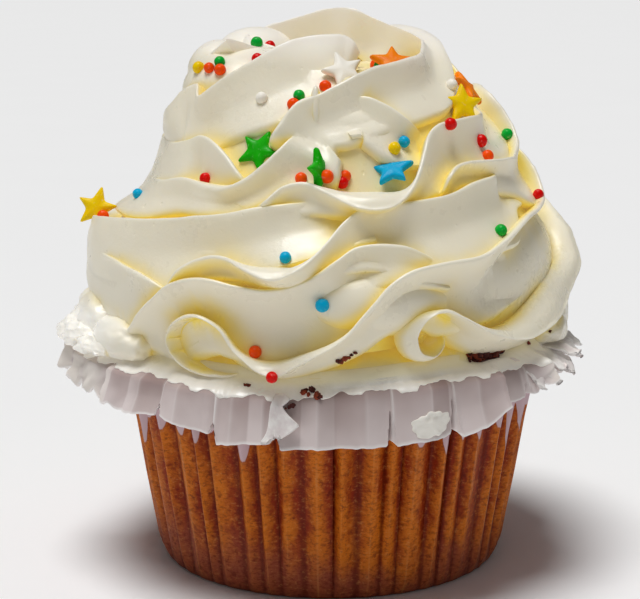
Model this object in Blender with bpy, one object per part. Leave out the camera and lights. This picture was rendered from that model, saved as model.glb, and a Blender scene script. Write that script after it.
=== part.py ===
"""Frosted muffin: a cake in a pleated paper case, under a tall swirl of piped cream with sprinkles.

The cream is piped as ruffles. Each ruffle is a plate that flares up and out of a core and ends in
a thin lip. Its lip follows a short row of stations round the swirl, and one section is swept along it.
"""

import math
import random

import bmesh
import bpy
import numpy as np
from mathutils import Vector
from mathutils.bvhtree import BVHTree

for old in list(bpy.data.objects):
    bpy.data.objects.remove(old)

MM = 0.001
GAP = 0.3  # clearance between touching pieces

# Paper case
PLEATS = 50
FOOT_R = 23.8  # radius of the flat underside
WALL_R = ((1.7, 24.9), (20.5, 27.7), (30.0, 29.6))  # (height, mean radius) of the wall
PLEAT_DEPTH = ((1.7, 0.15), (12.0, 0.5), (30.0, 0.65))  # (height, half depth) of the pleats
PAPER = 0.4  # thickness, with its folds
WALL_FOOT, WALL_TOP = 1.7, 29.6
SHOULDER_R = 34.2  # where the fringe turns down
FLARE = 4.4  # how much further out it stands where the fringe flares
CREST_R = 31.2  # where the paper folds over
# (angle, height) of the folded rim; angles run from the front towards the right
RIM = ((-180, 32.0), (-90, 32.2), (-43, 31.8), (-7, 31.0), (16, 32.2), (40, 32.8), (70, 32.9), (180, 32.0))

# Cream
# (height, radius) that the lips of the ruffles reach
OUTLINE = (
    (20, 29), (31.5, 33), (36, 34), (43, 35.3), (47, 34.5), (52, 31), (57, 28),
    (62, 25.5), (66, 23), (70, 20), (74, 16), (77, 9), (80, 2),
)
WAIST = 3.6  # how much slimmer the left side is
TUCK = 2.0  # how far the foot of a ruffle's face stands inside the outline
CORE_INSET = 3.4
CORE_LEVELS = np.linspace(35.5, 70.7, 9)
CURLS = ((-29, 35.5), (24, 37.8))  # (angle, height) of the hollow inside each tight curl
CURL_DEPTH = 5.5
ROOT = 7.0  # how deep a ruffle is rooted in the core
SOFTEN = 40  # the way of the lip is evened out over as many steps of 0.2 mm to each side
STATION = 7.0  # spacing of the swept sections where the lip runs straight
BEND = 0.55  # turn of the lip, in radians, that takes a section more
SWAY = 1.8  # waves of the lips round the back

CREAM_TRIANGLES = 6180  # before the sprinkles

# Sprinkles
BALL_R = 0.9
STAR_R = 2.9
STAR_THICK = 1.3


def outline(height, angle=None):
    heights, radii = zip(*OUTLINE)
    radius = np.interp(height, heights, radii)
    if angle is not None:  # the swirl is slimmer on its left side, half way up
        side = np.exp(-((((np.asarray(angle) + 270) % 360 - 180) / 45) ** 2))
        radius = radius - WAIST * side * np.interp(height, (50, 53, 59, 64), (0, 1, 1, 0))
    return radius


def rim(angle):
    angles, heights = zip(*RIM)
    return np.interp((np.asarray(angle) + 180) % 360 - 180, angles, heights)


def at(angle, radius, height):
    turn = np.radians(angle)
    return np.stack([radius * np.sin(turn), -radius * np.cos(turn), height + 0 * turn], -1)


def unit(vectors):
    return vectors / np.maximum(np.linalg.norm(vectors, axis=-1, keepdims=True), 1e-9)


def solid(name, points, faces):
    """a closed mesh object facing out, from points in millimetres"""
    mesh = bpy.data.meshes.new(name)
    mesh.from_pydata((np.asarray(points) * MM).tolist(), [], faces)
    work = bmesh.new()
    work.from_mesh(mesh)
    bmesh.ops.recalc_face_normals(work, faces=work.faces)
    if work.calc_volume(signed=True) < 0:
        bmesh.ops.reverse_faces(work, faces=work.faces)
    bmesh.ops.triangulate(work, faces=work.faces)
    work.to_mesh(mesh)
    work.free()
    obj = bpy.data.objects.new(name, mesh)
    bpy.context.scene.collection.objects.link(obj)
    return obj


def lofted(name, rings, fans=False):
    """a closed mesh through equal rings of points, capped flat or with a fan to each end ring's centre"""
    count, size = rings.shape[:2]
    points = rings.reshape(-1, 3)
    faces = [
        (i * size + j, i * size + (j + 1) % size, (i + 1) * size + (j + 1) % size, (i + 1) * size + j)
        for i in range(count - 1)
        for j in range(size)
    ]
    if fans:
        ends = [rings[0].mean(0), rings[-1].mean(0)]
        ends[0][2], ends[1][2] = rings[0][:, 2].mean(), rings[-1][:, 2].mean()
        points = np.vstack([points, ends])
        tip = count * size
        faces += [(tip, (j + 1) % size, j) for j in range(size)]
        faces += [(tip + 1, tip - size + j, tip - size + (j + 1) % size) for j in range(size)]
    else:
        faces += [tuple(range(size))[::-1], tuple(range((count - 1) * size, count * size))]
    return solid(name, points, faces)


def joined(name, bodies):
    """one body from overlapping bodies"""
    group = bpy.data.collections.new("group")
    bpy.context.scene.collection.children.link(group)
    for body in bodies[1:]:
        bpy.context.scene.collection.objects.unlink(body)
        group.objects.link(body)
    result = bodies[0]
    result.name = name
    union = result.modifiers.new("union", "BOOLEAN")
    union.operation = "UNION"
    union.operand_type = "COLLECTION"
    union.collection = group
    union.solver = "MANIFOLD"
    bpy.context.view_layer.objects.active = result
    bpy.ops.object.modifier_apply(modifier=union.name)
    for body in bodies[1:]:
        bpy.data.objects.remove(body)
    bpy.data.collections.remove(group)
    return result


def largest_shell(obj):
    """drops loose scraps and sealed hollows: only the largest shell stays"""
    work = bmesh.new()
    work.from_mesh(obj.data)
    left, shells = set(work.faces), []
    while left:
        shell, open_faces = [], [left.pop()]
        while open_faces:
            face = open_faces.pop()
            shell.append(face)
            sides = [side for side in face.edges if len(side.link_faces) == 2]
            near = {other for side in sides for other in side.link_faces} & left
            left -= near
            open_faces += near
        shells.append(shell)
    shells.sort(key=lambda shell: sum(face.calc_area() for face in shell))
    for shell in shells[:-1]:
        bmesh.ops.delete(work, geom=shell, context="FACES")
    loose = [vert for vert in work.verts if not vert.link_faces]
    bmesh.ops.delete(work, geom=loose, context="VERTS")
    bmesh.ops.triangulate(work, faces=work.faces, ngon_method="EAR_CLIP")
    work.to_mesh(obj.data)
    work.free()


def thinned(obj, triangles):
    """fewer triangles, taken where the form is flattest"""
    obj.data.calc_loop_triangles()
    fewer = obj.modifiers.new("fewer", "DECIMATE")
    fewer.ratio = min(1.0, triangles / len(obj.data.loop_triangles))
    bpy.context.view_layer.objects.active = obj
    bpy.ops.object.modifier_apply(modifier=fewer.name)


# ---------------------------------------------------------------- ruffles of cream
# Stations of each lip: angle, height, reach past the outline, height of the face, how far the top
# behind the lip rises where the lip droops, and how much deeper the face is cupped.
RUFFLES = (
    # lowest front ruffle on the right: curls, droops, then climbs round the right side and the back
    (
        (27.5, 38.2, -4, 1.2, 0, 2), (26.5, 36.4, -1.5, 1.6, 0, 2), (23, 35.0, 0, 2, 1, 2),
        (19.5, 35.6, 0, 2.4, 2.5, 1.5), (18, 38, 0, 2.8, 3, 1.5), (20, 40.4, 0, 3, 1.5, 2),
        (24.5, 41.4, 0, 3, 0, 2), (29, 40.2, 0.3, 3, 0, 1.5), (36, 37.9, 1, 3, 1),
        (44, 36.4, 1.5, 2.2, 2.5), (52, 36.4, 1.2, 2.5, 3.5), (62, 37.6, 0.8, 3.5, 4.5),
        (72, 39.2, 0, 5, 4.5), (81, 43, 0.4, 8.8, 3), (87, 47, 0, 9.8, 2), (97, 51, -0.3, 10.8),
        (120, 53, 0, 10.8), (180, 53.5, -0.5, 9.8), (225, 54, -1, 8.8), (270, 54.9, -0.2, 5, 0, -0.5),
        (300, 55.6, 0.2, 5, 0, -0.5), (315, 56.5, 0.3, 4.5, 0, -0.5), (323, 56.0, 0, 4, 1, -0.5),
        (330, 56.0, 0, 4, 1), (335, 56.9, 0, 4), (341, 59.2, 0, 5), (345, 61.2, -0.3, 7.8),
        (348, 62.6, -1.5, 7.8, 0, -1), (353, 63.6, -4.5, 6, 0, -1),
    ),
    # lowest front ruffle on the left: curls, droops, crosses the front and climbs on the right
    (
        (-19, 33.0, -5, 1.5, 0, 1), (-23, 32.2, -1.5, 1.8, 0, 2), (-30, 32.2, 0, 2.0, 0, 2.5),
        (-36.5, 33.2, 0, 2.6, 0, 2.5), (-39.5, 35.6, 0, 3, 0, 2.5), (-37.5, 38.4, 0, 3, 0, 2.5),
        (-31, 40.4, 0, 3, 0, 2.5), (-25, 39.2, 0, 3, 0, 2), (-20.5, 36, 0.5, 2.8, 0.5, 1),
        (-13, 33.6, 1.5, 1.6, 2.2), (-6, 35.5, 1.2, 2.4, 1.5), (2, 38.3, 0.5, 3.2, 0.5),
        (7, 41.5, 0, 4.5), (12, 44.9, 0, 7.8), (17, 46.6, 0, 8.8), (25, 47.3, 0, 9.3),
        (35, 47.7, 0, 9.3, 0, 0.3), (43, 49, 0, 9.3, 0, 1), (57, 51.2, 0, 9.8, 0, 2),
        (70, 51.5, -0.8, 8.8, 0, 3), (80, 52.6, -0.3, 8.8, 0, 3), (87, 56.2, 0.3, 9.8, 0, 2),
        (93, 59, -0.5, 9.8), (135, 60.2, -0.4, 8.8), (180, 60.4, -0.6, 8.8), (225, 60.6, -0.2, 8.8),
        (270, 60.6, 0, 8, 0, -1), (297, 60.4, -0.6, 8, 0, -1), (307, 61.2, -0.9, 8.8, 0, -1),
        (316, 62.0, -0.3, 9.3), (322, 61.4, 0, 9.8), (328, 59.8, 0, 8.8), (335, 57.1, -0.5, 4),
        (339, 54.8, -3, 2),
    ),
    # left ruffle that rises from the rim and runs in under the one before
    (
        (-64, 30.5, -3, 2), (-59, 32.5, 0, 3), (-49, 38.5, 0, 7.8), (-42, 41.7, 0, 8.8),
        (-36, 44.2, 0, 9.8), (-29, 45.2, 0, 9.8), (-21, 44.6, -0.5, 9.8), (-13, 44.2, -1.2, 9.8),
        (-5, 45.6, -1.2, 9.8), (1, 48, -0.5, 7.8), (6, 49.5, -0.5, 6), (17, 49.3, -0.5, 4.5, 0, -0.5),
        (23, 47.9, -1.2, 4, 0, -0.5), (29, 46, -4, 3),
    ),
    # middle ruffle across the front
    (
        (-45, 41.0, -5, 2), (-39, 43.0, -1, 2.5), (-35, 45.9, 0, 3), (-29, 47.8, 0, 3.2),
        (-24, 48.0, 0, 3), (-18, 47, 0.8, 2.4, 1), (-12, 46.1, 1.5, 2.2, 2), (-7, 47.2, 1, 3, 1),
        (-2, 49.7, 0.4, 4.5), (3, 52.5, 0, 7.3), (8, 54.1, 0, 8.3), (20, 54.6, 0, 8.8),
        (31, 55.1, 0, 8.8), (42, 56.3, 0, 8.8), (52, 56.6, -0.6, 8.3), (59, 56.5, -3, 5),
        (64, 56, -6, 4),
    ),
    # back ruffle that comes round the left side to the front
    (
        (72, 38, -5, 5), (85, 40.5, -1.5, 7.8), (105, 42, -0.3, 8.8), (135, 42.5, 0, 8.8),
        (180, 44.5, 0, 8.8), (225, 46.5, 0, 7.8), (265, 48.6, 0.8, 6, 0, -1),
        (290, 50.2, 1.0, 7.8, 0, -1.5), (312, 51.4, 0.4, 8.8, 0, -0.5), (325, 52.3, 0, 8.8),
        (335, 53.1, 0, 8.8), (343, 54.0, -0.4, 7.8), (351, 54.4, -1.4, 7), (360, 54.6, -2.8, 6),
        (370, 54.8, -5, 5),
    ),
    # low ruffle on the left side, full and hardly turned out
    (
        (-200, 36.0, -5, 4), (-175, 37.5, -1, 5), (-150, 39, -0.5, 7.8), (-120, 42, 0, 8.8),
        (-95, 45.0, -0.4, 8.3, 0, -1.5), (-75, 45.8, -0.5, 8.8, 0, -1.8),
        (-58, 45.4, -0.6, 9.8, 0, -1.5), (-44, 44.0, -0.8, 9.8, 0, -1), (-36, 42.0, -2.5, 8.8),
        (-30, 41, -5, 5),
    ),
    # short curl on the right that climbs round the back
    (
        (29.5, 53.6, -5, 1.2), (31, 55.2, -1.5, 2.0), (33, 57.2, 0, 2.8), (37, 58.5, 0, 3.2),
        (42, 58.9, 0, 3.5), (52, 58.7, 0, 4), (63, 58.5, 0, 5), (74, 58.3, -0.8, 7.3), (83, 60, 0, 7.8),
        (90, 63.4, 0.3, 8.8), (96, 66, 0, 8.8), (120, 67.5, 0, 8.8), (180, 68, -0.4, 8.8),
        (225, 67, -1.5, 7.8), (250, 66, -4, 4),
    ),
    # ruffle across the upper front: droops, stands up on the right and climbs to the top at the back
    (
        (-24, 52.5, -5, 2), (-17.5, 54.5, 0, 2.6), (-13, 56.5, 0, 3.5), (-7, 57, 0, 4),
        (-2, 56.2, 0.5, 3.2, 1), (7, 54.4, 1.5, 1.8, 2.8), (13, 54.4, 1.8, 1.8, 2.8),
        (18, 55.6, 1.5, 2.5, 1.5), (22, 57.4, 1, 4), (26, 60, 0.4, 7.3), (30, 62.4, 0, 8.8),
        (35, 63.7, 0, 8.8), (50, 64.2, -0.5, 8.8), (64, 64.3, -1.2, 7.8), (75, 65.6, -3.5, 7.8),
        (84, 69, -2.5, 8.8), (95, 71.6, -2.5, 8.8), (120, 73.2, -1.5, 8.8), (180, 73.8, -0.5, 8.8),
        (225, 73.4, 0.2, 8.8), (245, 72.6, 0, 8.8), (258, 70.8, -0.5, 7.8), (270, 68, -3, 5),
        (278, 65.5, -7, 4),
    ),
    # ruffle that climbs the front to the peak and closes in a loop round a hollow
    (
        (-22, 60.3, -5, 2), (-18, 62.7, 0, 4), (-15, 64.9, 0, 7.3), (-11, 66.9, 0, 7.3),
        (-4, 67.8, 0, 7.3, -0.5), (3, 69.1, 0, 7.8, -1), (15, 70.8, 0, 8.3, -2),
        (29, 71.7, 0, 8.3, -2.5), (42, 72.3, -0.3, 7.8, -3), (56, 73.0, -2.0, 5.5, -3),
        (72, 74.2, -2.6, 4, -3), (92, 75.2, -3.0, 4.5, -1), (118, 76.5, -2.6, 6, -1),
        (140, 77.8, -1.6, 9.8, -1), (165, 78.2, -1, 9.8, -1), (190, 77.8, -1, 9.8, -1),
        (215, 76.7, -1.5, 9.8, -1), (250, 75.0, -2.5, 9.8, -1), (285, 74.0, -4.5, 5), (300, 73, -8, 3),
    ),
    # topmost fold, from the left side to the peak
    (
        (-125, 59.5, -6, 3), (-105, 61.0, -3, 4), (-88, 62.8, -1.4, 5, 0, -1),
        (-74, 65.2, -0.3, 6, 0, -1.5), (-62, 67.6, 0, 8, 0, -1),
        (-53, 67.6, 0, 8, 0, -0.5), (-45, 69.4, 0, 8.8), (-38, 71.0, 0, 9.8),
        (-32, 72.4, 0, 10.8), (-25, 73.7, 0, 11.3), (-15, 74.8, 0, 11.3), (2, 75, -1.2, 10.8),
        (12, 74.6, -2.8, 9.8), (20, 72.5, -6, 7.8),
    ),
    # small fold under the peak
    (
        (3, 65.5, -5.5, 4), (8, 66.8, -2.4, 4.5), (13, 67.3, -1.1, 5), (19, 66.3, -0.8, 5),
        (25, 64.6, -1.0, 5), (31, 63, -2.8, 4.5), (36, 61.8, -5, 4),
    ),
)
# Soft lumps of cream, at the rim on the left, under a lip in front and at the upper left: angle, radius,
# height, and half sizes out, across and up.
LUMPS = (
    (-73, 31.8, 36.2, 4.6, 5.4, 3.4), (-60, 32.2, 34.4, 3.8, 5.6, 2.8), (-88, 31.0, 35.4, 4.2, 6, 3.4),
    (12, 29.6, 42.0, 4.2, 9, 4.6), (-73, 12.0, 66.8, 9.2, 9.0, 6.4), (-112, 11.5, 70.8, 6.0, 6.2, 4.6),
    (-88, 15.5, 69.2, 4.6, 5.4, 4.6),
)


def path(rows):
    """stations along a smooth curve through the rows, their lip points and the ways the lip runs"""
    rows = np.array([tuple(row) + (0,) * (6 - len(row)) for row in rows], float)

    def lip(keys):
        return at(keys[:, 0], outline(keys[:, 1], keys[:, 0]) + keys[:, 2], keys[:, 1])

    chord = np.linalg.norm(np.diff(lip(rows), axis=0), axis=1)
    knots = np.r_[0, np.cumsum(np.sqrt(chord))]
    span = np.diff(knots)
    slope = np.diff(rows, axis=0) / span[:, None]
    tangent = np.vstack([slope[:1], np.zeros_like(rows[1:-1]), slope[-1:]])
    inner = slope[:-1] * span[1:, None] + slope[1:] * span[:-1, None]
    tangent[1:-1] = inner / (span[1:] + span[:-1])[:, None]
    fine = np.linspace(0, knots[-1], 1 + int(chord.sum() / 0.2))
    i = np.clip(np.searchsorted(knots, fine, side="right") - 1, 0, len(span) - 1)
    t, width = ((fine - knots[i]) / span[i])[:, None], span[i][:, None]
    keys = (2 * t**3 - 3 * t**2 + 1) * rows[i] + (t**3 - 2 * t**2 + t) * width * tangent[i]
    keys += (3 * t**2 - 2 * t**3) * rows[i + 1] + (t**3 - t**2) * width * tangent[i + 1]
    back = np.clip((np.cos(np.radians(keys[:, 0] - 175)) - 0.15) / 0.6, 0, 1)
    back *= np.clip((outline(keys[:, 1]) - 14) / 4, 0, 1)
    keys[:, 1] += back * SWAY * np.sin(np.radians(6 * keys[:, 0]) + 0.16 * keys[:, 1])
    keys[:, 2] += back * 0.4 * SWAY * np.sin(np.radians(5 * keys[:, 0]) + 0.1 * keys[:, 1])
    steps = np.diff(lip(keys), axis=0)
    spread = np.pad(steps, ((SOFTEN, SOFTEN), (0, 0)), mode="edge")
    window = np.hanning(2 * SOFTEN + 1)
    ways = np.stack([np.convolve(column, window, "valid") for column in spread.T], 1)
    ways = np.vstack([ways, ways[-1:]])
    bend = np.linalg.norm(np.diff(unit(steps), axis=0), axis=1)
    along = np.r_[0, np.cumsum(np.linalg.norm(steps, axis=1) / STATION + np.r_[0, bend] / BEND)]
    even = np.linspace(0, along[-1], 1 + max(3, round(along[-1])))
    keys, ways = [np.stack([np.interp(even, along, column) for column in some.T], 1) for some in (keys, ways)]
    return keys, lip(keys), unit(ways)


def section(face, foot, rise, hollow, root):
    """(out, down) from the root over the lip and down the face, and back to the root"""
    cupped = 0.3 + 0.09 * face + hollow
    return np.array(
        [
            (-root, 1.8 - 0.7 * rise),
            (-3.2, 1.2 - rise),
            (-1.0, 0.15 - 0.45 * rise),
            (-0.2, -0.1),
            (0.05, 0.25),
            (0.45 * foot - cupped, 0.5 * face),
            (foot, face),
            (foot - 1.6, face + 0.8),
            (-root, 0.7 * face + 1.0),
        ]
    )


def ruffle(rows):
    """the ruffle as closed lofts: a new one starts where the lip turns back"""
    keys, lips, along = path(rows)
    out = unit(at(keys[:, 0], 1.0, np.interp(keys[:, 1], (52, 66, 74, 80), (0, 0.25, 0.7, 1.6))))
    down = np.cross(unit(along - (out * along).sum(1, keepdims=True) * out), out)
    rings = []
    for lip, o, d, (angle, _, _, face, rise, hollow) in zip(lips, out, down, keys):
        end = lip + d * face
        inset = outline(end[2], angle) - TUCK - hollow - math.hypot(end[0], end[1])
        root = min(ROOT, 0.72 * math.hypot(lip[0], lip[1]))
        shape = section(face, np.clip(inset, -5, 7), rise, hollow, root)
        ring = lip + o * shape[:, :1] + d * shape[:, 1:]
        floor = rim(np.degrees(np.arctan2(ring[:, 0], -ring[:, 1]))) + GAP + 0.1
        ring[:, 2] = np.maximum(ring[:, 2], floor + 0.02 * np.arange(len(ring)))
        rings.append(ring)
    turning = np.sign(np.diff(keys[:, 0]))
    turns = [0] + [i for i in range(1, len(turning)) if turning[i] != turning[i - 1]] + [len(keys) - 1]
    return [
        lofted("ruffle", np.array(rings[max(start - 1, 0) : end + 1]))
        for start, end in zip(turns[:-1], turns[1:])
        if end > start
    ]


def lathe(name, profile):
    """a closed body of revolution from rings of (radius, height), either of which may vary by angle"""
    rings = [at(turn, radius, height + 0 * turn) for radius, height in profile]
    return lofted(name, np.array(rings), fans=True)


turn = np.linspace(-180, 180, 60, endpoint=False)
edge = 32.0 + 0.4 * np.sin(np.radians(3 * turn + 20)) + 0.25 * np.sin(np.radians(7 * turn))
# the cake shows where the foot of the cream stands back
edge -= 5.0 * np.exp(-(((turn - 48) / 8) ** 2)) + 2.2 * np.exp(-(((turn - 5) / 4) ** 2))
low = rim(turn) + GAP
base = lathe(
    "base",
    (
        (26 + 0 * turn, low),
        (edge - 1.2, low + 0.1),
        (edge, low + 0.9),
        (edge - 0.8, low + 2.2),
        (edge - 4.5, low + 3.4),
        (14 + 0 * turn, low + 6),
    ),
)
core_rings = []
for level in CORE_LEVELS:
    radius = np.full(len(turn), outline(level) - CORE_INSET)
    for angle, height in CURLS:
        near = np.exp(-(((turn - angle) / 9) ** 2)) * math.exp(-(((level - height) / 3.5) ** 2))
        radius -= CURL_DEPTH * near
    core_rings.append((radius, level))
bodies = [base, lathe("core", core_rings)]
for rows in RUFFLES:
    bodies += ruffle(rows)


def lump(angle, radius, height, half_out, half_across, half_up):
    ball = bmesh.new()
    bmesh.ops.create_icosphere(ball, subdivisions=2, radius=1)
    points = np.array([vert.co for vert in ball.verts])
    faces = [[vert.index for vert in face.verts] for face in ball.faces]
    ball.free()
    points *= (half_across, half_out, half_up)
    swing = math.radians(angle)
    x = points[:, 0] * math.cos(swing) - points[:, 1] * math.sin(swing)
    y = points[:, 0] * math.sin(swing) + points[:, 1] * math.cos(swing)
    points = np.stack([x, y, points[:, 2]], 1) + at(angle, radius, height)
    points[:, 2] = np.maximum(points[:, 2], float(rim(angle)) + GAP + 0.15)
    return solid("lump", points, faces)


bodies += [lump(*row) for row in LUMPS]
swirl = joined("cream", bodies)
largest_shell(swirl)
thinned(swirl, CREAM_TRIANGLES)
largest_shell(swirl)

# ---------------------------------------------------------------- sprinkles, fused to the cream
# Each ball fell towards the back and down on to the cream. The rows are where: across and up, on a
# plane before the front.
BALLS = (
    (-16.4, 64.3), (-7.5, 36.7), (1.3, 62.8), (20.0, 70.7), (29.1, 64.4), (-10.0, 82.2), (-8.6, 86.2),
    (15.4, 71.7), (-9.7, 40.2), (-3.9, 63.2), (-0.5, 63.4), (1.7, 63.7), (-0.8, 76.7), (-4.9, 73.9),
    (20.9, 68.4), (-16.4, 81.1), (-14.9, 80.6), (6.1, 81.3), (-33.0, 63.0), (-5.8, 52.1), (-1.1, 46.0),
    (9.3, 68.9), (-26.5, 64.1), (-4.2, 75.3), (25.0, 73.7), (22.1, 57.1), (-15.0, 81.9), (-10.2, 85.8),
    (6.5, 80.8), (-17.9, 81.5), (8.0, 67.6), (-9.1, 75.3), (16.2, 78.5),
)
# centre, the way the flat faces, and the turn of the first tip from upright
STARS = (
    ((-9.5, -20.9, 60.3), (-0.30, -0.85, 0.43), 24),
    ((-1.5, -25.9, 58.4), (0.92, -0.36, 0.15), -5),
    ((-32.3, -3.0, 49.7), (-0.10, -0.95, 0.30), 12),
    ((7.8, -23.6, 58.0), (0.10, -0.32, 0.94), -18),
    ((17.8, -10.6, 65.2), (0.40, -0.82, 0.40), 4),
    ((19.2, -3.5, 66.4), (0.75, -0.20, 0.63), 20),
    ((8.3, -12.0, 70.7), (0.10, -0.60, 0.80), 5),
    ((1.6, -16.7, 70.4), (0.12, -0.76, 0.64), -16),
)
FALL = math.radians(17)
BACK_BALLS, BACK_STARS = 9, 2
surface = BVHTree.FromObject(swirl, bpy.context.evaluated_depsgraph_get())


def landing(angle, across, height):
    """where a line that comes in from this angle and slopes down meets the cream, and the normal there"""
    start = at(angle, 45.0, height) + across * at(angle + 90, 1.0, 0.0)
    way = at(angle, -math.cos(FALL), -math.sin(FALL))
    spot, normal, _, _ = surface.ray_cast(Vector(start * MM), Vector(way))
    return (np.array(spot) / MM, np.array(normal)) if spot else None


def ball(spot, normal):
    shape = bmesh.new()
    bmesh.ops.create_icosphere(shape, subdivisions=1, radius=1.06 * BALL_R)
    points = np.array([vert.co for vert in shape.verts])
    faces = [[vert.index for vert in face.verts] for face in shape.faces]
    shape.free()
    centre = spot + 0.3 * BALL_R * normal
    angle = math.degrees(math.atan2(spot[0], -spot[1]))
    centre[2] = max(centre[2], float(rim(angle)) + GAP + 1.2 * BALL_R)
    return solid("ball", points + centre, faces)


def star(centre, facing, tip_turn):
    facing = unit(np.array(facing))
    up = unit(np.array((0, 0, 1.0)) - facing[2] * facing)
    right = np.cross(up, facing)
    turns = np.radians(tip_turn + 36 * np.arange(10))
    reach = np.where(np.arange(10) % 2, 0.55, 1.0) * STAR_R
    flat = np.outer(reach * np.cos(turns), up) + np.outer(reach * np.sin(turns), right)
    back = centre + flat - 0.5 * STAR_THICK * facing
    front = centre + 0.9 * flat + 0.5 * STAR_THICK * facing
    return lofted("star", np.array([back, front]))


sprinkles = [ball(*landing(0, *row)) for row in BALLS] + [star(*row) for row in STARS]
draw = random.Random(21)
behind = []
while len(behind) < BACK_BALLS + BACK_STARS:
    found = landing(draw.uniform(100, 260), 0, draw.uniform(45, 84))
    if found:
        behind.append(found)
sprinkles += [ball(*found) for found in behind[:BACK_BALLS]]
for spot, normal in behind[BACK_BALLS:]:
    sprinkles.append(star(spot + 0.3 * normal, normal, draw.uniform(0, 72)))
cream = joined("cream", [swirl] + sprinkles)
largest_shell(cream)

# ---------------------------------------------------------------- paper case
# Lower edge of the folded-over paper: angle, radius and height. Where the fourth value stands, a slit
# between two panels opens up to that height.
FRINGE = (
    (-98, 38.6, 28.2), (-90, 39.4, 28.6), (-82, 39.7, 28.2), (-75, 39.5, 28.0), (-66, 39.0, 27.0),
    (-57, 38.3, 27.0, 28.2), (-50, 37.8, 26.3), (-40, 36.8, 26.6, 28.6), (-38, 37.0, 26.7),
    (-26.5, 37.0, 25.2, 26.8), (-24, 36.3, 24.1), (-13, 36.3, 24.6, 25.6), (-11, 35.8, 23.8),
    (-1.4, 35.8, 24.0), (11.5, 35.8, 24.1, 29.3), (14, 36.2, 24.4), (25.5, 36.6, 25.1, 30.2),
    (28, 36.2, 24.9), (33, 36.8, 25.9), (38.5, 38.2, 28.2, 29.8), (41, 36.0, 27.9),
    (46, 36.0, 28.2, 30.0), (50, 37.3, 28.6), (54, 37.8, 29.4, 31.0), (58, 37.0, 30.0),
    (64, 35.5, 29.5), (76, 34.5, 27.5, 29.0), (92, 34.8, 26.5),
)
SLIT_AFTER = 1.0  # from a panel's edge to the middle of the slit, in degrees
SLIT_STEP = 0.9  # columns over a slit, in degrees
SLIT_DEPTH = 1.6
PANEL_GAP = 2.5  # from panel to panel, in degrees
fringe = [tuple(row) + (0,) * (4 - len(row)) for row in FRINGE]
draw = random.Random(8)
start = 98.0
while start < 256:  # round the back the panels go on by the same rule
    height = draw.uniform(24.2, 26.8)
    radius = draw.uniform(35.2, 37.0)
    end = start + draw.uniform(11, 20)
    fringe += [(start, radius, height, 0), (end, radius + 0.6, height + 0.3, draw.uniform(26, 30))]
    start = end + PANEL_GAP
edges = np.array(sorted(fringe))
wrapped = np.vstack([edges[-1] - (360, 0, 0, 0), edges, edges[0] + (360, 0, 0, 0)])
slits = edges[edges[:, 3] > 0]

pleat_columns = np.arange(2 * PLEATS) * 180.0 / PLEATS - 180
seam_columns = np.concatenate([row[0] + SLIT_AFTER + SLIT_STEP * np.arange(-1, 2) for row in slits])
seam_columns = (seam_columns + 180) % 360 - 180
columns = np.sort(np.r_[pleat_columns, seam_columns])


def pleat(angles):
    """zigzag, from 1 on a fold that stands out to -1 on one that lies in"""
    return 1 - 2 * np.abs((np.asarray(angles) + 180) * PLEATS / 360 % 1 * 2 - 1)


def wall(height, angles, inset=0.0):
    radius = np.interp(height, *zip(*WALL_R))
    return radius - inset + np.interp(height, *zip(*PLEAT_DEPTH)) * pleat(angles)


def fringe_edge(angles):
    """radius and height of the lower edge, with its slits"""
    radius = np.interp(angles, wrapped[:, 0], wrapped[:, 1])
    height = np.interp(angles, wrapped[:, 0], wrapped[:, 2])
    for end, _, _, top in slits:
        near = np.abs((angles - end - SLIT_AFTER + 180) % 360 - 180) < SLIT_STEP / 3
        height = np.where(near, top, height)
        radius = np.where(near, radius - SLIT_DEPTH, radius)
    return radius, height


edge_r, edge_z = fringe_edge(columns)
crest = rim(columns)
folds = pleat(columns)
flare = np.clip((edge_r - 35.5) / 4, 0, 1)
left = np.clip((-columns - 45) / 20, 0, 1) * (columns > -110)
# on the left the paper is crumpled into its pleats
shoulder_r = np.minimum(SHOULDER_R + FLARE * flare, edge_r - 0.3) + 0.7 * left * folds
shoulder_z = np.maximum(crest - 1.3 + 0.9 * flare + 0.5 * left * folds, edge_z + 0.7)
edge_r = edge_r + 0.8 * left * folds - 0.8 * left


def ring(radius, height):
    return at(columns, radius + 0 * columns, height + 0 * columns)


outer = [
    ring(FOOT_R + 0.1 * folds, 0),
    ring(wall(WALL_FOOT, columns), WALL_FOOT),
    ring(wall(WALL_TOP, columns), WALL_TOP),
]
under = [
    ring(CREST_R + 0.25 * folds, crest - 0.5),
    ring(shoulder_r - 0.5 * PAPER, shoulder_z - PAPER),
    ring(edge_r - PAPER, edge_z),
]
over = [
    ring(edge_r, edge_z),
    ring(shoulder_r, shoulder_z),
    ring(CREST_R - 0.2 + 0.25 * folds, crest),
    ring(wall(WALL_TOP, columns, 1.2 * PAPER), WALL_TOP),
]
inner = [
    ring(wall(WALL_FOOT, columns, PAPER), WALL_FOOT + 0.2),
    ring(FOOT_R - 0.5 + 0.1 * folds, PAPER),
]
paper_case = lofted("paper_case", np.array(outer + under + over + inner), fans=True)

# ---------------------------------------------------------------- cake inside the case
cake_top = rim(pleat_columns) - 0.1
CRUMB_RISE = 0.6
crumb = CRUMB_RISE * np.exp(-(((pleat_columns - 48) / 3) ** 2))  # at the gap at the foot of the cream


def cake_ring(radius, height):
    return at(pleat_columns, radius + 0 * pleat_columns, height + 0 * pleat_columns)


cake_rings = [
    cake_ring(FOOT_R - 1.0, PAPER + GAP),
    cake_ring(wall(WALL_FOOT + 0.2, pleat_columns, PAPER + GAP + 0.1), WALL_FOOT + 0.3),
    cake_ring(wall(29, pleat_columns, PAPER + GAP + 0.2), 29),
    cake_ring(28.3, cake_top + crumb),
    cake_ring(26, cake_top),
]
cake = lofted("cake", np.array(cake_rings), fans=True)


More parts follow.
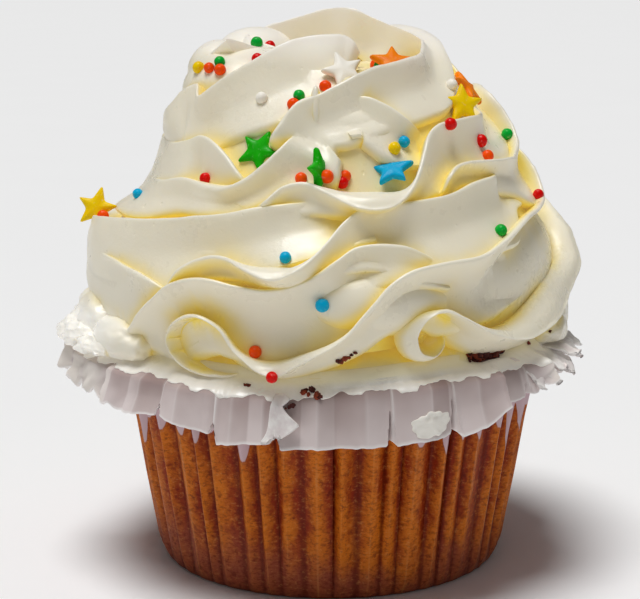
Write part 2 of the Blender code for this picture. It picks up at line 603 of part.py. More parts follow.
def painted(obj, colour, roughness):
    material = bpy.data.materials.new(obj.name)
    material.use_nodes = True
    shader = material.node_tree.nodes["Principled BSDF"]
    shader.inputs["Base Color"].default_value = (*colour, 1)
    shader.inputs["Roughness"].default_value = roughness
    material.diffuse_color = (*colour, 1)
    obj.data.materials.clear()
    obj.data.materials.append(material)


painted(cream, (0.86, 0.82, 0.68), 0.45)
painted(paper_case, (0.45, 0.24, 0.12), 0.6)
painted(cake, (0.30, 0.11, 0.04), 0.9)
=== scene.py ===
"""Frosted muffin: brown cake in a pleated paper case, under ruffles of piped cream with sprinkles."""

import math
import random

import bmesh
import bpy
import numpy as np
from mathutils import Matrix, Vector, noise
from mathutils.bvhtree import BVHTree


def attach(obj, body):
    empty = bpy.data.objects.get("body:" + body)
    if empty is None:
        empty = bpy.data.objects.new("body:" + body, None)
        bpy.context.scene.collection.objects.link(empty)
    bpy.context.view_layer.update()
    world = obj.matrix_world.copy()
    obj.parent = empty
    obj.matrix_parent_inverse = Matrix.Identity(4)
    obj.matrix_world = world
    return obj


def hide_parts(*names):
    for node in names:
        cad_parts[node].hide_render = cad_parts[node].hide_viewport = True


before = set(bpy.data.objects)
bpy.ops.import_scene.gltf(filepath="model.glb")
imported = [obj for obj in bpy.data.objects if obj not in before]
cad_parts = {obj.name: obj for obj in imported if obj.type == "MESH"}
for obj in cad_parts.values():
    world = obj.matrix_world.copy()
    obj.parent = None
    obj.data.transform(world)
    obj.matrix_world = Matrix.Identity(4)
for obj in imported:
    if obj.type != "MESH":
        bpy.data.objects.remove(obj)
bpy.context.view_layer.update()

# ----------------------------------------------------------
# Paper case: one round sheet of greaseproof paper, pressed into a cup with 50 pleats. Its top is
# folded out and hangs down as a torn fringe. The cake has soaked the wall brown, the fringe is dry.
MM = 0.001  # every size here is in millimetres, and the frame is in metres
PLEATS = 50
PAPER = 0.35  # its thickness
FOOT_R = 23.8
WALL_R = ((0.0, 24.2), (1.7, 24.9), (20.5, 27.7), (30.0, 29.6))  # height and radius of the wall
PLEAT_DEPTH = ((0.6, 0.05), (2.5, 0.35), (12, 0.65), (30, 0.8))  # height and depth of the pleats there
CREST_R = 31.2  # where the paper turns over; below, angle and height of this crest
RIM = ((-180, 32.0), (-90, 32.2), (-43, 31.8), (-7, 31.0), (16, 32.2), (40, 32.8), (70, 32.9), (180, 32.0))
# lower edge of the fringe: angle, radius, height and, where a slit parts two panels, the slit's top
FRINGE = (
    (-98, 38.6, 28.2), (-90, 39.4, 28.6), (-82, 39.7, 28.2), (-75, 39.5, 28.0), (-66, 39.0, 27.0),
    (-57, 38.3, 27.0, 28.2), (-50, 37.8, 26.3), (-40, 36.8, 26.6, 28.6), (-38, 37.0, 26.7),
    (-26.5, 37.0, 25.2, 26.8), (-24, 36.3, 24.1), (-13, 36.3, 24.6, 25.6), (-11, 35.8, 23.8),
    (-1.4, 35.8, 24.0), (11.5, 35.8, 24.1, 29.3), (14, 36.2, 24.4), (25.5, 36.6, 25.1, 30.2),
    (28, 36.2, 24.9), (33, 36.8, 25.9), (38.5, 38.2, 28.2, 29.8), (41, 36.0, 27.9), (46, 36.0, 28.2, 30.0),
    (50, 37.3, 28.6), (54, 37.8, 29.4, 31.0), (58, 37.0, 30.0), (64, 35.5, 29.5), (76, 34.5, 27.5, 29.0),
    (92, 34.8, 26.5),
)
CASE_COLUMNS = 1000


def at(angle, radius, height):
    """points at angles in degrees, turning from the front towards the right"""
    turn = np.radians(angle)
    return np.stack([radius * np.sin(turn), -radius * np.cos(turn), height + 0 * turn], -1)


def unit(vectors):
    return vectors / np.maximum(np.linalg.norm(vectors, axis=-1, keepdims=True), 1e-9)


def rim(angle):
    angles, heights = zip(*RIM)
    return np.interp((np.asarray(angle) + 180) % 360 - 180, angles, heights)


def placed(name, data):
    obj = bpy.data.objects.new(name, data)
    bpy.context.scene.collection.objects.link(obj)
    return obj


def closed_mesh(name, points, faces):
    """a mesh object facing out, from points in millimetres"""
    mesh = bpy.data.meshes.new(name)
    mesh.from_pydata((np.asarray(points) * MM).tolist(), [], faces)
    work = bmesh.new()
    work.from_mesh(mesh)
    bmesh.ops.recalc_face_normals(work, faces=work.faces)
    if work.calc_volume(signed=True) < 0:
        bmesh.ops.reverse_faces(work, faces=work.faces)
    work.to_mesh(mesh)
    work.free()
    mesh.shade_smooth()
    return placed(name, mesh)


def woven(rings, closed_round=False):
    """points and faces through equal rings of points; the ends meet, or are capped with fans"""
    rings = np.asarray(rings)
    count, size = rings.shape[:2]
    steps = [(j, (j + 1) % size) for j in range(size)]
    points, faces = rings.reshape(-1, 3), []
    for i in range(count if closed_round else count - 1):
        here, there = i * size, (i + 1) % count * size
        faces += [(here + j, here + k, there + k, there + j) for j, k in steps]
    if not closed_round:
        points = np.vstack([points, rings[0].mean(0), rings[-1].mean(0)])
        tip, last = count * size, (count - 1) * size
        faces += [(tip, k, j) for j, k in steps]
        faces += [(tip + 1, last + j, last + k) for j, k in steps]
    return points, faces


def loft(name, rings, closed_round=False):
    return closed_mesh(name, *woven(rings, closed_round))


def field(obj, name, values):
    """keeps one value for each point of a mesh, which its material reads"""
    made = obj.data.attributes.new(name, "FLOAT", "POINT")
    made.data.foreach_set("value", np.asarray(values, np.float32))


def hump(away, width, power=2):
    """1 where away is 0, and falling smoothly to both sides"""
    return np.exp(-((away / width) ** power))


def uneven(points):
    """soft noise at each of the points"""
    return np.array([noise.noise(Vector(point)) for point in points])


def ripple(angles, seed, waves, steepness=1.0):
    """an uneven wave round the case, between -1 and 1"""
    draw = random.Random(seed)
    total = np.zeros(len(angles))
    for wave in waves:
        total += draw.uniform(0.5, 1.0) * np.sin(np.radians(wave * angles) + draw.uniform(0, 2 * math.pi))
    return np.tanh(steepness * total / math.sqrt(len(waves)))


columns = np.linspace(-180, 180, CASE_COLUMNS, endpoint=False)
turn = (columns + 180) * PLEATS / 360 + 0.3 * ripple(columns, 3, (7, 13, 19, 26))
pleat_number = np.floor(turn).astype(int) % PLEATS
phase = turn % 1
# each pleat rises steeply on one side and falls back slowly on the other, to a rounded fold
lean = 0.36
rise = np.where(phase < lean, phase / lean, (1 - phase) / (1 - lean))
fold = np.sin((rise - 0.5) * math.pi) * 0.6 + (2 * rise - 1) * 0.4
draw = random.Random(12)
pleat_depth = np.array([draw.uniform(0.55, 1.2) for _ in range(PLEATS)])[pleat_number]
dry_drop = np.array([draw.choice((0.1, 0.6, 1.6, 3.0, 4.4)) * draw.uniform(0.8, 1.2) for _ in range(PLEATS)])
drip_width = np.array([draw.uniform(0.16, 0.36) for _ in range(PLEATS)])

fringe = [tuple(row) + (0,) * (4 - len(row)) for row in FRINGE]
draw = random.Random(8)
angle = 98.0
while angle < 256:  # round the back the panels go on by the same rule
    height, radius = draw.uniform(24.2, 26.8), draw.uniform(34.6, 35.9)
    fringe.append((angle, radius, height, 0))
    fringe.append((angle + draw.uniform(11, 20), radius + 0.4, height + 0.3, draw.uniform(26, 30)))
    angle = fringe[-1][0] + 2.5
fringe = np.array(sorted(fringe))
wrapped = np.vstack([fringe[-1] - (360, 0, 0, 0), fringe, fringe[0] + (360, 0, 0, 0)])
slits = fringe[fringe[:, 3] > 0]

edge_r = np.interp(columns, wrapped[:, 0], wrapped[:, 1]) - 0.9
edge_z = np.interp(columns, wrapped[:, 0], wrapped[:, 2])
edge_z += 0.1 * ripple(columns, 5, (31, 47, 73, 97)) + 0.05 * ripple(columns, 6, (131, 173, 211))
crest = rim(columns)
# on the left, and a little on the right, the folds fan out; elsewhere the panels hang flat
frill = np.clip((-columns - 45) / 16, 0, 1) * np.clip((columns + 112) / 14, 0, 1)
frill += 0.8 * np.clip((columns - 47) / 8, 0, 1) * np.clip((100 - columns) / 14, 0, 1)
# upright creases are left from the pleats, and the paper is flat from one to the next
CREASE_EVERY, CREASE_OUT = (3.0, 8.5), (0.1, 0.44)  # from and to, in degrees and in millimetres
draw = random.Random(41)
creases = [(-180.0, 0.0)]
while creases[-1][0] < 174:
    side = 1 if len(creases) % 2 else -1
    creases.append((creases[-1][0] + draw.uniform(*CREASE_EVERY), side * draw.uniform(*CREASE_OUT)))
crease_at, crease_out = np.array(creases).T
facet = np.interp(columns, crease_at, crease_out, period=360)
tone = np.array([draw.uniform(0, 1) for _ in range(len(creases) + 1)])
tone = tone[np.searchsorted(crease_at, columns, "right")]
crease_highlight = hump(np.abs(columns[:, None] - crease_at[1::2]).min(1), 0.3)
# each panel stands out at its left edge and lies under the next one at its right edge
slit_at = slits[:, 0] + 1.2
panel = np.searchsorted(slit_at, columns)
ends = np.r_[slit_at[-1] - 360, slit_at, slit_at[0] + 360]
across = (columns - ends[panel]) / (ends[panel + 1] - ends[panel])
draw = random.Random(17)
lefts, rights = np.array([(draw.uniform(0.1, 0.55), draw.uniform(-0.55, -0.1)) for _ in ends]).T
panel %= len(slits)
overlap = lefts[panel] + (rights[panel] - lefts[panel]) * across
kick = np.array([draw.choice((0.0, 0.2, 0.9)) for _ in slits])[panel]  # lower part bent out
panel_edge_highlight = hump(columns - ends[panel], 0.35)
slit_top = np.full(CASE_COLUMNS, 99.0)
slit_near = np.full(CASE_COLUMNS, 9.0)
SLIT = 0.85  # half width of a slit at its foot, in degrees
for start, _, _, top in slits:
    away = np.abs((columns - start - 1.2 + 180) % 360 - 180)
    slit_top = np.where(away < slit_near, top, slit_top)
    slit_near = np.minimum(slit_near, away)
gaping = np.clip(-columns / 10, 0, 1) + 0.12  # the slits on the left gape, the others show paper behind
fan_depth = np.clip(0.6 + 0.7 * ripple(columns, 61, (11, 19, 27)), 0.1, 1.3)
teeth = np.abs((0.31 * columns + 0.5 * ripple(columns, 9, (9, 17, 29))) % 1 - 0.5)
torn = frill * (0.9 * (0.5 - 0.5 * fold) ** 2 + 2.2 * teeth - 0.3 + 0.15 * ripple(columns, 10, (83, 120)))
edge_z = edge_z + torn
notch = np.clip(1 - slit_near / (1.2 * SLIT), 0, 1) ** 0.7 * gaping
lower_z = edge_z + notch * np.maximum(np.minimum(slit_top, crest - 0.6) - edge_z, 0)
flare = np.clip((edge_r - 34.75) / 4, 0, 1)
shoulder_r = np.minimum(33.6 + 4.2 * flare, edge_r - 0.3)
shoulder_z = np.maximum(crest - 1.5 + 0.9 * flare, edge_z + 0.7)
hang = np.linspace(0, 1, 21)
TURNED, HANGING = 0.42, 0.58  # shares of the fringe that turn over and that hang


def fringe_row(share, side):
    """one level of the fringe, from its crest (0) to its lower edge (1); side 1 is its upper face"""
    knots = ((CREST_R - 0.2, crest), (shoulder_r, shoulder_z), (edge_r, edge_z))
    over = min(share / TURNED, 1.0)
    below = max((share - TURNED) / HANGING, 0.0)
    bend = math.sin(over * math.pi / 2)
    radius = knots[0][0] + (knots[1][0] - knots[0][0]) * (0.35 * over + 0.65 * bend)
    height = knots[0][1] + (knots[1][1] - knots[0][1]) * over**1.7
    radius = radius + (knots[2][0] - knots[1][0]) * below
    height = height + (knots[2][1] - knots[1][1]) * below
    flat = 1 - np.clip(frill, 0, 1)
    loose = min(1.0, 3.5 * share)
    radius = radius + flat * (facet * loose + overlap * (0.25 * loose + 0.75 * below))
    radius = radius + flat * kick * max(below - 0.45, 0) * 1.4
    # a slit is a wedge that widens downwards; the paper behind it lies further in
    wide = SLIT * np.clip((slit_top - height) / np.maximum(slit_top - edge_z, 0.5), 0, 1.2)
    inside = np.clip((wide - slit_near) / 0.3, 0, 1) * (height < slit_top)
    radius = radius - 0.95 * inside * flat * min(1.0, 2 * below + 0.3)
    height = np.where(share > 0.3, np.maximum(height, lower_z + 0.02 * (1 - share)), height)
    crumple = 0.3 * ripple(columns + 14 * share, 23, (31, 43, 58), 2) * frill
    fanned = frill * (1.3 * (2 * rise - 1) * fan_depth - 0.7)
    radius = radius + share * (fanned + crumple + 0.1 * ripple(columns, 21, (9, 17, 26)))
    height = height + frill * min(1.0, 1.6 * share) * ((2 * rise - 1) * fan_depth - 0.15)
    thick = 0.5 * PAPER * side
    level = 1 - 0.8 * min(share / 0.5, 1)
    return at(columns, radius + thick * (1 - level), np.minimum(height + thick * level, crest + 0.2))


def wall_row(height, inset=0.0):
    radius = np.interp(height, *zip(*WALL_R)) - inset
    depth = np.interp(height, *zip(*PLEAT_DEPTH)) * pleat_depth
    waver = 0.1 * ripple(columns + 1.5 * math.sin(height / 7), 4, (7, 12, 19)) * min(1, height / 6)
    return at(columns, radius + depth * fold + waver * (height < 28), height)


foot = [at(columns, FOOT_R * share, 0.0) for share in (0.25, 0.6, 0.9, 0.98)]
foot += [at(columns, FOOT_R + 0.05 * fold, 0.0), at(columns, 24.1 + 0.08 * fold, 0.12)]
outer = [wall_row(height) for height in np.r_[0.45, 1.0, np.linspace(1.9, 29.6, 30)]]
under = [fringe_row(share, -1) for share in hang]
under[0] = at(columns, CREST_R - 0.15, crest - 0.45)
over = [fringe_row(share, 1) for share in hang[::-1]]
inner = [wall_row(height, 1.2 * PAPER) for height in (29.6, 24, 16, 8, 2.2)]
floor_in = [at(columns, radius, PAPER) for radius in (FOOT_R - 0.6, 12.0)]
rings = np.array(foot + outer + under + over + inner + floor_in)
first_hung, hung = len(foot) + len(outer), 2 * len(hang)  # the rings of the fringe
paper_case = loft("pleated_paper_case", rings)

# What the material reads: how far a point lies into a fold, how far inside the soaked part, how light
# the paper is between two creases, and a painted highlight along outward creases, panel edges and the torn
# edge.
rows = len(rings)
heights = rings[:, :, 2]
is_wall = np.ones(rows)
is_wall[first_hung : first_hung + hung] = 0
# the dry part ends in a point in some pleats
point = np.clip(1.25 - np.abs(phase - 0.45) / drip_width[pleat_number], 0, 1)
dry_line = 24.0 - dry_drop[pleat_number] * point**0.6 - 0.35 * ripple(columns, 30, (41, 67, 103))
side_dry = np.clip(1 - np.abs(columns - 66) / 34, 0, 1) + 0.6 * np.clip(1 - np.abs(columns + 66) / 30, 0, 1)
dry_line = dry_line - 2.4 * side_dry * np.clip(fold + 0.4, 0, 1)
soaked = np.where(is_wall[:, None] > 0, dry_line[None] - heights, -3.0)
field(paper_case, "soaked", np.r_[soaked.ravel(), 3, 3])
field(paper_case, "pleat", np.r_[np.tile(fold, rows), 0, 0])
hanging = np.zeros(rows)
hanging[first_hung : first_hung + hung] = np.r_[hang, hang[::-1]]
# on the fan the tone rises towards the outward side of each fold, as a painted highlight
field(paper_case, "tone", np.r_[np.tile(tone + frill * (0.7 + 0.7 * rise), rows), 0, 0])
fall = hanging[:, None]
# painted highlight near the outward creases and the standing edges of the panels, and along the torn lower
# edge
lines = np.clip(0.16 * crease_highlight * (1 - frill) + panel_edge_highlight * (fall > 0.3), 0, 1) * np.clip(3 * fall, 0, 1)
lines = np.maximum(lines, (fall > 0.97) * (is_wall[:, None] < 1))
field(paper_case, "edge", np.r_[lines.ravel(), 0, 0])
field(paper_case, "hang", np.r_[(fall + 0 * columns).ravel(), 0, 0])
paper_case.data.set_sharp_from_angle(angle=math.radians(34))


class Field:
    """A socket among a material's nodes. Sums and products of fields add Math nodes."""

    def __init__(self, tree, socket):
        self.tree, self.socket = tree, socket

    def node(self, kind, settings=None, links=None, output=0):
        """any other node: its settings first, then the values or links of its sockets"""
        made = self.tree.nodes.new("ShaderNode" + kind)
        for name, value in (settings or {}).items():
            if name == "stops":
                stops = made.color_ramp.elements
                while len(stops) < len(value):
                    stops.new(1.0)
                for stop, (place, shade) in zip(stops, value):
                    stop.position, stop.color = place, shade
            else:
                setattr(made, name, value)
        for name, value in (links or {}).items():
            if isinstance(value, Field):
                self.tree.links.new(value.socket, made.inputs[name])
            else:
                made.inputs[name].default_value = value
        return Field(self.tree, made.outputs[output])

    def math(self, operation, first, second):
        return self.node("Math", {"operation": operation}, {0: first, 1: second})

    def __add__(self, other):
        return self.math("ADD", self, other)

    def __sub__(self, other):
        return self.math("SUBTRACT", self, other)

    def __rsub__(self, other):
        return self.math("SUBTRACT", other, self)

    def __mul__(self, other):
        return self.math("MULTIPLY", self, other)

    def __truediv__(self, other):
        return self.math("DIVIDE", self, other)

    __radd__, __rmul__ = __add__, __mul__

    def between(self, low, high):
        """0 below the low value, 1 above the high one, and smooth between"""
        return self.node("MapRange", {"interpolation_type": "SMOOTHSTEP"}, {0: self, 1: low, 2: high})

    def kept(self, name):
        """a value kept at the points of the mesh"""
        return self.node("Attribute", {"attribute_name": name}, output=2)

    def noise(self, size, detail=3.0, place=None, rough=0.55):
        """soft noise with grains of about this size in millimetres, centred on 0.5"""
        links = {"Vector": place or self.place(), "Scale": 1000 / size, "Detail": detail, "Roughness": rough}
        return self.node("TexNoise", {"noise_dimensions": "3D"}, links)

    def place(self):
        return self.node("TexCoord", output=3)

    def stretched(self, x, y, z):
        """the place on the object, drawn out so that noise runs longer that way"""
        return self.node("VectorMath", {"operation": "MULTIPLY"}, {0: self.place(), 1: (x, y, z)})

    def mix(self, mask, first, second, way="MIX"):
        return self.node("Mix", {"data_type": "RGBA", "blend_type": way}, {0: mask, 6: first, 7: second}, 2)

    def coated(self, base, *coats):
        """a colour with others laid over it in turn, each as far as its mask says"""
        for mask, tint in coats:
            base = self.mix(mask, base, tint)
        return base


def colour(*screen):
    """a colour named by its red, green and blue on a screen, 0 to 255"""
    linear = [((c / 255 + 0.055) / 1.055) ** 2.4 if c > 10 else c / 255 / 12.92 for c in screen]
    return (*linear, 1)


def finish(obj, name, **uniform):
    """a Principled material on the object, with the values that are the same all over it"""
    material = bpy.data.materials.new(name)
    material.use_nodes = True
    shader = material.node_tree.nodes["Principled BSDF"]
    for socket, value in uniform.items():
        shader.inputs[socket.replace("_", " ")].default_value = value
    obj.data.materials.clear()
    obj.data.materials.append(material)
    return shader, Field(material.node_tree, None)


def bump(shader, height, strength, depth):
    """raises the shader's surface by a height field; depth is in millimetres"""
    links = {"Height": height, "Strength": strength, "Distance": depth * MM}
    made = Field(shader.id_data, None).node("Bump", {}, links)
    made.tree.links.new(made.socket, shader.inputs["Normal"])


def feed(shader, **links):
    for socket, value in links.items():
        value.tree.links.new(value.socket, shader.inputs[socket.replace("_", " ")])


GOLD, RUSSET, UMBER = colour(212, 114, 20), colour(146, 44, 6), colour(158, 80, 56)
FOLD_LIGHT, PAPER_WHITE, PAPER_GREY_AND_SHADE = colour(216, 146, 84), colour(228, 216, 214), colour(158, 134, 130)
DRIP_LILAC, STAIN_AND_VALLEY_SHADE, TIDE_MARK = colour(212, 186, 192), colour(90, 18, 2), colour(150, 84, 60)
FAN_WHITE_AND_HIGHLIGHT, EDGE_HIGHLIGHT = colour(244, 236, 228), colour(250, 248, 246)
shader, paint = finish(paper_case, "greaseproof_paper", Specular_IOR_Level=0.14)
pleat = paint.kept("pleat")
cloud = paint.noise(9, 3, paint.stretched(1, 1, 0.7))
blotch = paint.noise(2.6, 4, paint.stretched(1, 1, 0.6))
grain = paint.noise(0.7, 4, rough=0.65)
height = paint.node("SeparateXYZ", links={0: paint.place()}, output=2) * (1 / MM)
# the pleat ridges are painted towards gold, a painted highlight; clouds, blotches and grain vary the gold at
# random
gold_and_ridge_light = (pleat + 1) * 0.35 + (cloud - 0.5) * 1.5 + (blotch - 0.5) * 1.3 + (grain - 0.5) * 0.7 + 0.12
low = (height + (cloud - 0.5) * 16 + (blotch - 0.5) * 5).between(10, 2)
crumbly = paint.noise(0.45, 4, paint.stretched(0.6, 0.6, 1.3), 0.7)
# patches along which a painted highlight runs on the pleat ridges
ridge_highlight_patches = paint.noise(3.5, 2, paint.stretched(1, 1, 0.3)).between(0.35, 0.65)
soaked = paint.kept("soaked") + (paint.noise(1.3, 3) - 0.5) * 0.7
dry = soaked.between(0.1, -0.1)
brown = paint.coated(
    RUSSET,
    (gold_and_ridge_light.between(0.0, 0.9), GOLD),
    (low * 0.8, UMBER),
    # painted shade in the pleat valleys; the next two are stains at random
    (pleat.between(-0.45, -0.95) * 0.55, STAIN_AND_VALLEY_SHADE),
    (grain.between(0.56, 0.7) * 0.3, FOLD_LIGHT),
    (paint.noise(0.8, 3).between(0.58, 0.7) * 0.5, STAIN_AND_VALLEY_SHADE),
    (crumbly.between(0.5, 0.38) * 0.45, STAIN_AND_VALLEY_SHADE),
    (crumbly.between(0.56, 0.68) * 0.35, FOLD_LIGHT),
    # painted highlight on the pleat ridges, in patches
    (pleat.between(0.9, 0.99) * ridge_highlight_patches * 0.35, FOLD_LIGHT),
    (soaked.between(0.7, 0.1) * 0.4, TIDE_MARK),
)
fall = paint.kept("hang")
tone = paint.kept("tone")
# painted light: the hanging fringe is painted lighter towards its lower edge; the tone between creases and
# noise vary it at random
lit = (tone * 0.3 + paint.noise(7, 2) * 0.5 + fall * 0.5).between(0.2, 1.15)
white = paint.coated(
    PAPER_GREY_AND_SHADE,
    (lit, PAPER_WHITE),
    # the fan painted whiter, most of all on the outward side of each fold: a painted highlight
    (tone.between(1.0, 2.0), FAN_WHITE_AND_HIGHLIGHT),
    # painted shade on the upper part of the fringe, where it turns over
    (fall.between(0.55, 0.3) * fall.between(0.05, 0.2) * 0.35, PAPER_GREY_AND_SHADE),
    # painted highlight along the outward creases, the panel edges and the torn lower edge
    (paint.kept("edge") * 0.8, EDGE_HIGHLIGHT),
    (fall.between(0.001, 0.0), DRIP_LILAC),
)
feed(shader, Base_Color=paint.mix(dry, brown, white), Roughness=paint.noise(2.5, 2) * 0.25 + 0.34 + dry * 0.2)
fibre = paint.noise(0.5, 3, paint.stretched(1, 1, 0.35))
bump(shader, fibre * 0.35 + grain * 0.3 + paint.noise(2.2, 2) * 0.5, 0.4, 0.2)
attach(paper_case, "root")
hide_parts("paper_case")

# ----------------------------------------------------------
# Torn paper: the fringe tore where it stuck to the tin. A scrap of it is folded over in front, and
# crumpled tongues stand out on the right. They are part of the same sheet as the case.
TORN_THICK = 0.2
# the scrap from top to bottom: its left and right edge as angles, how far down the fringe it is, and
# how far its right edge stands off
SCRAP = (
    (-12.4, -10.6, 0.24, 0.15), (-12.7, -9.0, 0.36, 0.45), (-13.0, -10.9, 0.46, 0.6),
    (-13.2, -9.0, 0.58, 0.9), (-13.3, -7.0, 0.70, 1.15), (-13.4, -8.4, 0.76, 0.9),
    (-13.6, -9.9, 0.82, 0.65), (-14.0, -11.6, 0.89, 0.4), (-14.7, -13.6, 0.97, 0.2),
)
# angle, half width, and the radius and height of the tip
TONGUES = (
    (50.5, 3.4, 36.8, 28.7), (55, 3.0, 37.4, 29.2), (58, 3.4, 37.6, 30.6), (63, 3.6, 37.2, 29.4),
    (67, 4.0, 37.0, 31.8), (74, 4.4, 36.6, 30.2), (82, 4.8, 36.2, 30.8),
)
face = np.array(over[::-1])
facing = unit(np.cross(np.roll(face, -1, 1) - np.roll(face, 1, 1), np.gradient(face, axis=0)))
facing *= np.sign((facing * at(columns, 1.0, 0.6)).sum(-1, keepdims=True))


def draped(angles, shares, lift):
    """points lifted off the upper face of the fringe; a share is how far down it they lie"""
    column, level = (angles + 180) / 360 * CASE_COLUMNS, np.clip(shares, 0, 1) * (len(hang) - 1)
    left, low = np.floor(column).astype(int), np.minimum(level.astype(int), len(hang) - 2)
    u, v = (column - left)[..., None], (level - low)[..., None]

    def blend(grid):
        here, there = left % CASE_COLUMNS, (left + 1) % CASE_COLUMNS
        above, below = [(1 - u) * grid[row, here] + u * grid[row, there] for row in (low, low + 1)]
        return (1 - v) * above + v * below

    return blend(face) + np.asarray(lift)[..., None] * unit(blend(facing))


def sheet(name, grid, thickness):
    """a thin closed sheet under a grid of points"""
    normal = unit(np.cross(np.gradient(grid, axis=0), np.gradient(grid, axis=1)))
    return loft(name, np.concatenate([grid, (grid - thickness * normal)[:, ::-1]], 1))


def finer(rows, count):
    """rows filled in between the given ones"""
    rows = np.array(rows, float)
    at_rows = np.linspace(0, len(rows) - 1, count)
    return np.stack([np.interp(at_rows, np.arange(len(rows)), column) for column in rows.T], 1)


left_at, right_at, down_at, off = finer(SCRAP, 34)[:, :, None].transpose(1, 0, 2)
run = np.linspace(0, 1, 12)[None]
spread = left_at + (right_at - left_at) * run
wrinkle = np.array([[noise.noise((6 * u, 9 * v[0], 2)) for u in run[0]] for v in down_at])
stands = 0.12 + off * run**1.3 + 0.12 * wrinkle * run
scraps = [sheet("scrap", draped(spread, down_at + 0.02 * wrinkle, stands), TORN_THICK)]
for angle, half, tip_r, tip_z in TONGUES:
    out, side = np.linspace(0, 1, 18)[:, None], np.linspace(-1, 1, 14)[None]
    bent = np.array([[noise.noise((3 * u, 1.6 * v, angle)) for v in side[0]] for u in out[:, 0]])
    wide = half * (1.0 - 0.6 * out**2.5 + 0.1 * bent)
    radius = CREST_R + 1.0 + (tip_r - CREST_R - 1.0) * (out**0.9 - 0.16 * side**2 * out)
    height = rim(angle) + 0.1 + (tip_z - rim(angle)) * out**1.5 * (1 - 0.25 * side**2)
    radius, height = radius + 0.3 * bent * out, height + 0.5 * bent * np.minimum(1, 2 * out)
    grid = at(angle + wide * side + 1.4 * bent * out, radius, height)
    scraps.append(sheet("tongue", grid, 1.1 * TORN_THICK))
torn = scraps[0]
torn.name = "torn_paper"
with bpy.context.temp_override(active_object=torn, selected_editable_objects=scraps):
    bpy.ops.object.join()
shader, paint = finish(torn, "torn_greaseproof", Specular_IOR_Level=0.3)
CREASE_GREY, TORN_WHITE = colour(232, 222, 220), colour(250, 246, 242)
creased = paint.noise(1.6, 4)
white = paint.mix(creased.between(0.3, 0.6), CREASE_GREY, TORN_WHITE)
feed(shader, Base_Color=white, Roughness=paint.noise(2.0, 2) * 0.3 + 0.35)
bump(shader, creased * 0.7 + paint.noise(0.5, 3) * 0.3, 0.4, 0.2)
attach(torn, "root")
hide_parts("paper_case")

# ----------------------------------------------------------
# Cake: a brown sponge baked in the case. It shows where the foot of the cream stands back from the
# paper, as an open, torn crumb with dark pores.
CLEARANCE = 0.3
GAP_AT, GAP_WIDE = 43, 6.5  # angle and half width of the gap that shows the cake
# radius of each ring of the top, and how far it lies below the crest of the paper
CAKE_TOP = ((29.0, 0.6), (28.7, 0.2), (28.3, 0.0), (27.6, -0.3), (26.8, -0.3), (26.0, 0.0), (25.0, 0.25))
foot_in = at(columns, FOOT_R - 1.0, PAPER + CLEARANCE)
side = [wall_row(height, PAPER + CLEARANCE + 0.25) for height in (2.0, 4, 8, 14, 20, 25, 28.6)]
tops = []
for radius, drop in CAKE_TOP:
    top = at(columns, radius, crest - drop)
    pores = np.abs(uneven(top * 0.9) + 0.6 * uneven(top * 2.3)) ** 0.5
    shown = hump(columns - GAP_AT, GAP_WIDE)
    top[:, 2] += (1.5 * shown * (radius < 28.5) - 0.3 - 0.5 * shown) * pores * 0.9 - 0.05
    tops.append(top)
cake = loft("muffin_cake", [foot_in] + side + tops)
CRUMB_BROWN, PORE_BROWN, CRUMB_TAN = colour(88, 44, 22), colour(34, 12, 6), colour(146, 92, 52)
shader, paint = finish(cake, "baked_sponge", Roughness=0.85)
pores = paint.noise(1.3, 5, rough=0.65)
open_pore, flour = pores.between(0.56, 0.44), paint.noise(0.5, 3).between(0.55, 0.7) * 0.5
feed(shader, Base_Color=paint.coated(CRUMB_BROWN, (open_pore, PORE_BROWN), (flour, CRUMB_TAN)))
bump(shader, pores * 0.7 + paint.noise(0.35, 3) * 0.3, 0.8, 0.5)
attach(cake, "root")
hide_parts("cake")

# ----------------------------------------------------------
# Cream: whipped cream piped as ruffles round a core, from the paper to a peak. Each ruffle flares up
# and out to a thin lip, and droops or curls where the bag was moved. Its folds are painted a stronger
# yellow as painted shade, with a painted glow, for light that goes far into a fold and comes back yellow.
WAIST = 3.6  # how much slimmer the left side is
# height and radius that the lips reach
OUTLINE = (
    (20, 29), (31.5, 33), (36, 34), (43, 35.3), (47, 34.5), (52, 31), (57, 28), (62, 25.5), (66, 23),
    (70, 20), (74, 16), (77, 9), (80, 2),
)
TUCK = 2.0  # how far the foot of a face lies inside that radius
CORE_INSET = 3.4  # how far the core lies inside it
CURLS = ((-29, 35.5), (24, 37.8))  # angle and height of the hollows
GAP_DEPTH = 5.0  # how far the foot stands back where the cake shows
ROOT = 7.0  # how deep a ruffle is set in the core
SWAY = 1.8  # how far the lips wave up and down at the back
TIPPED = ((52, 0), (66, 0.25), (74, 0.7), (80, 1.6))  # height, and how far the ruffles there point up
STATION = 0.75  # spacing of the swept sections
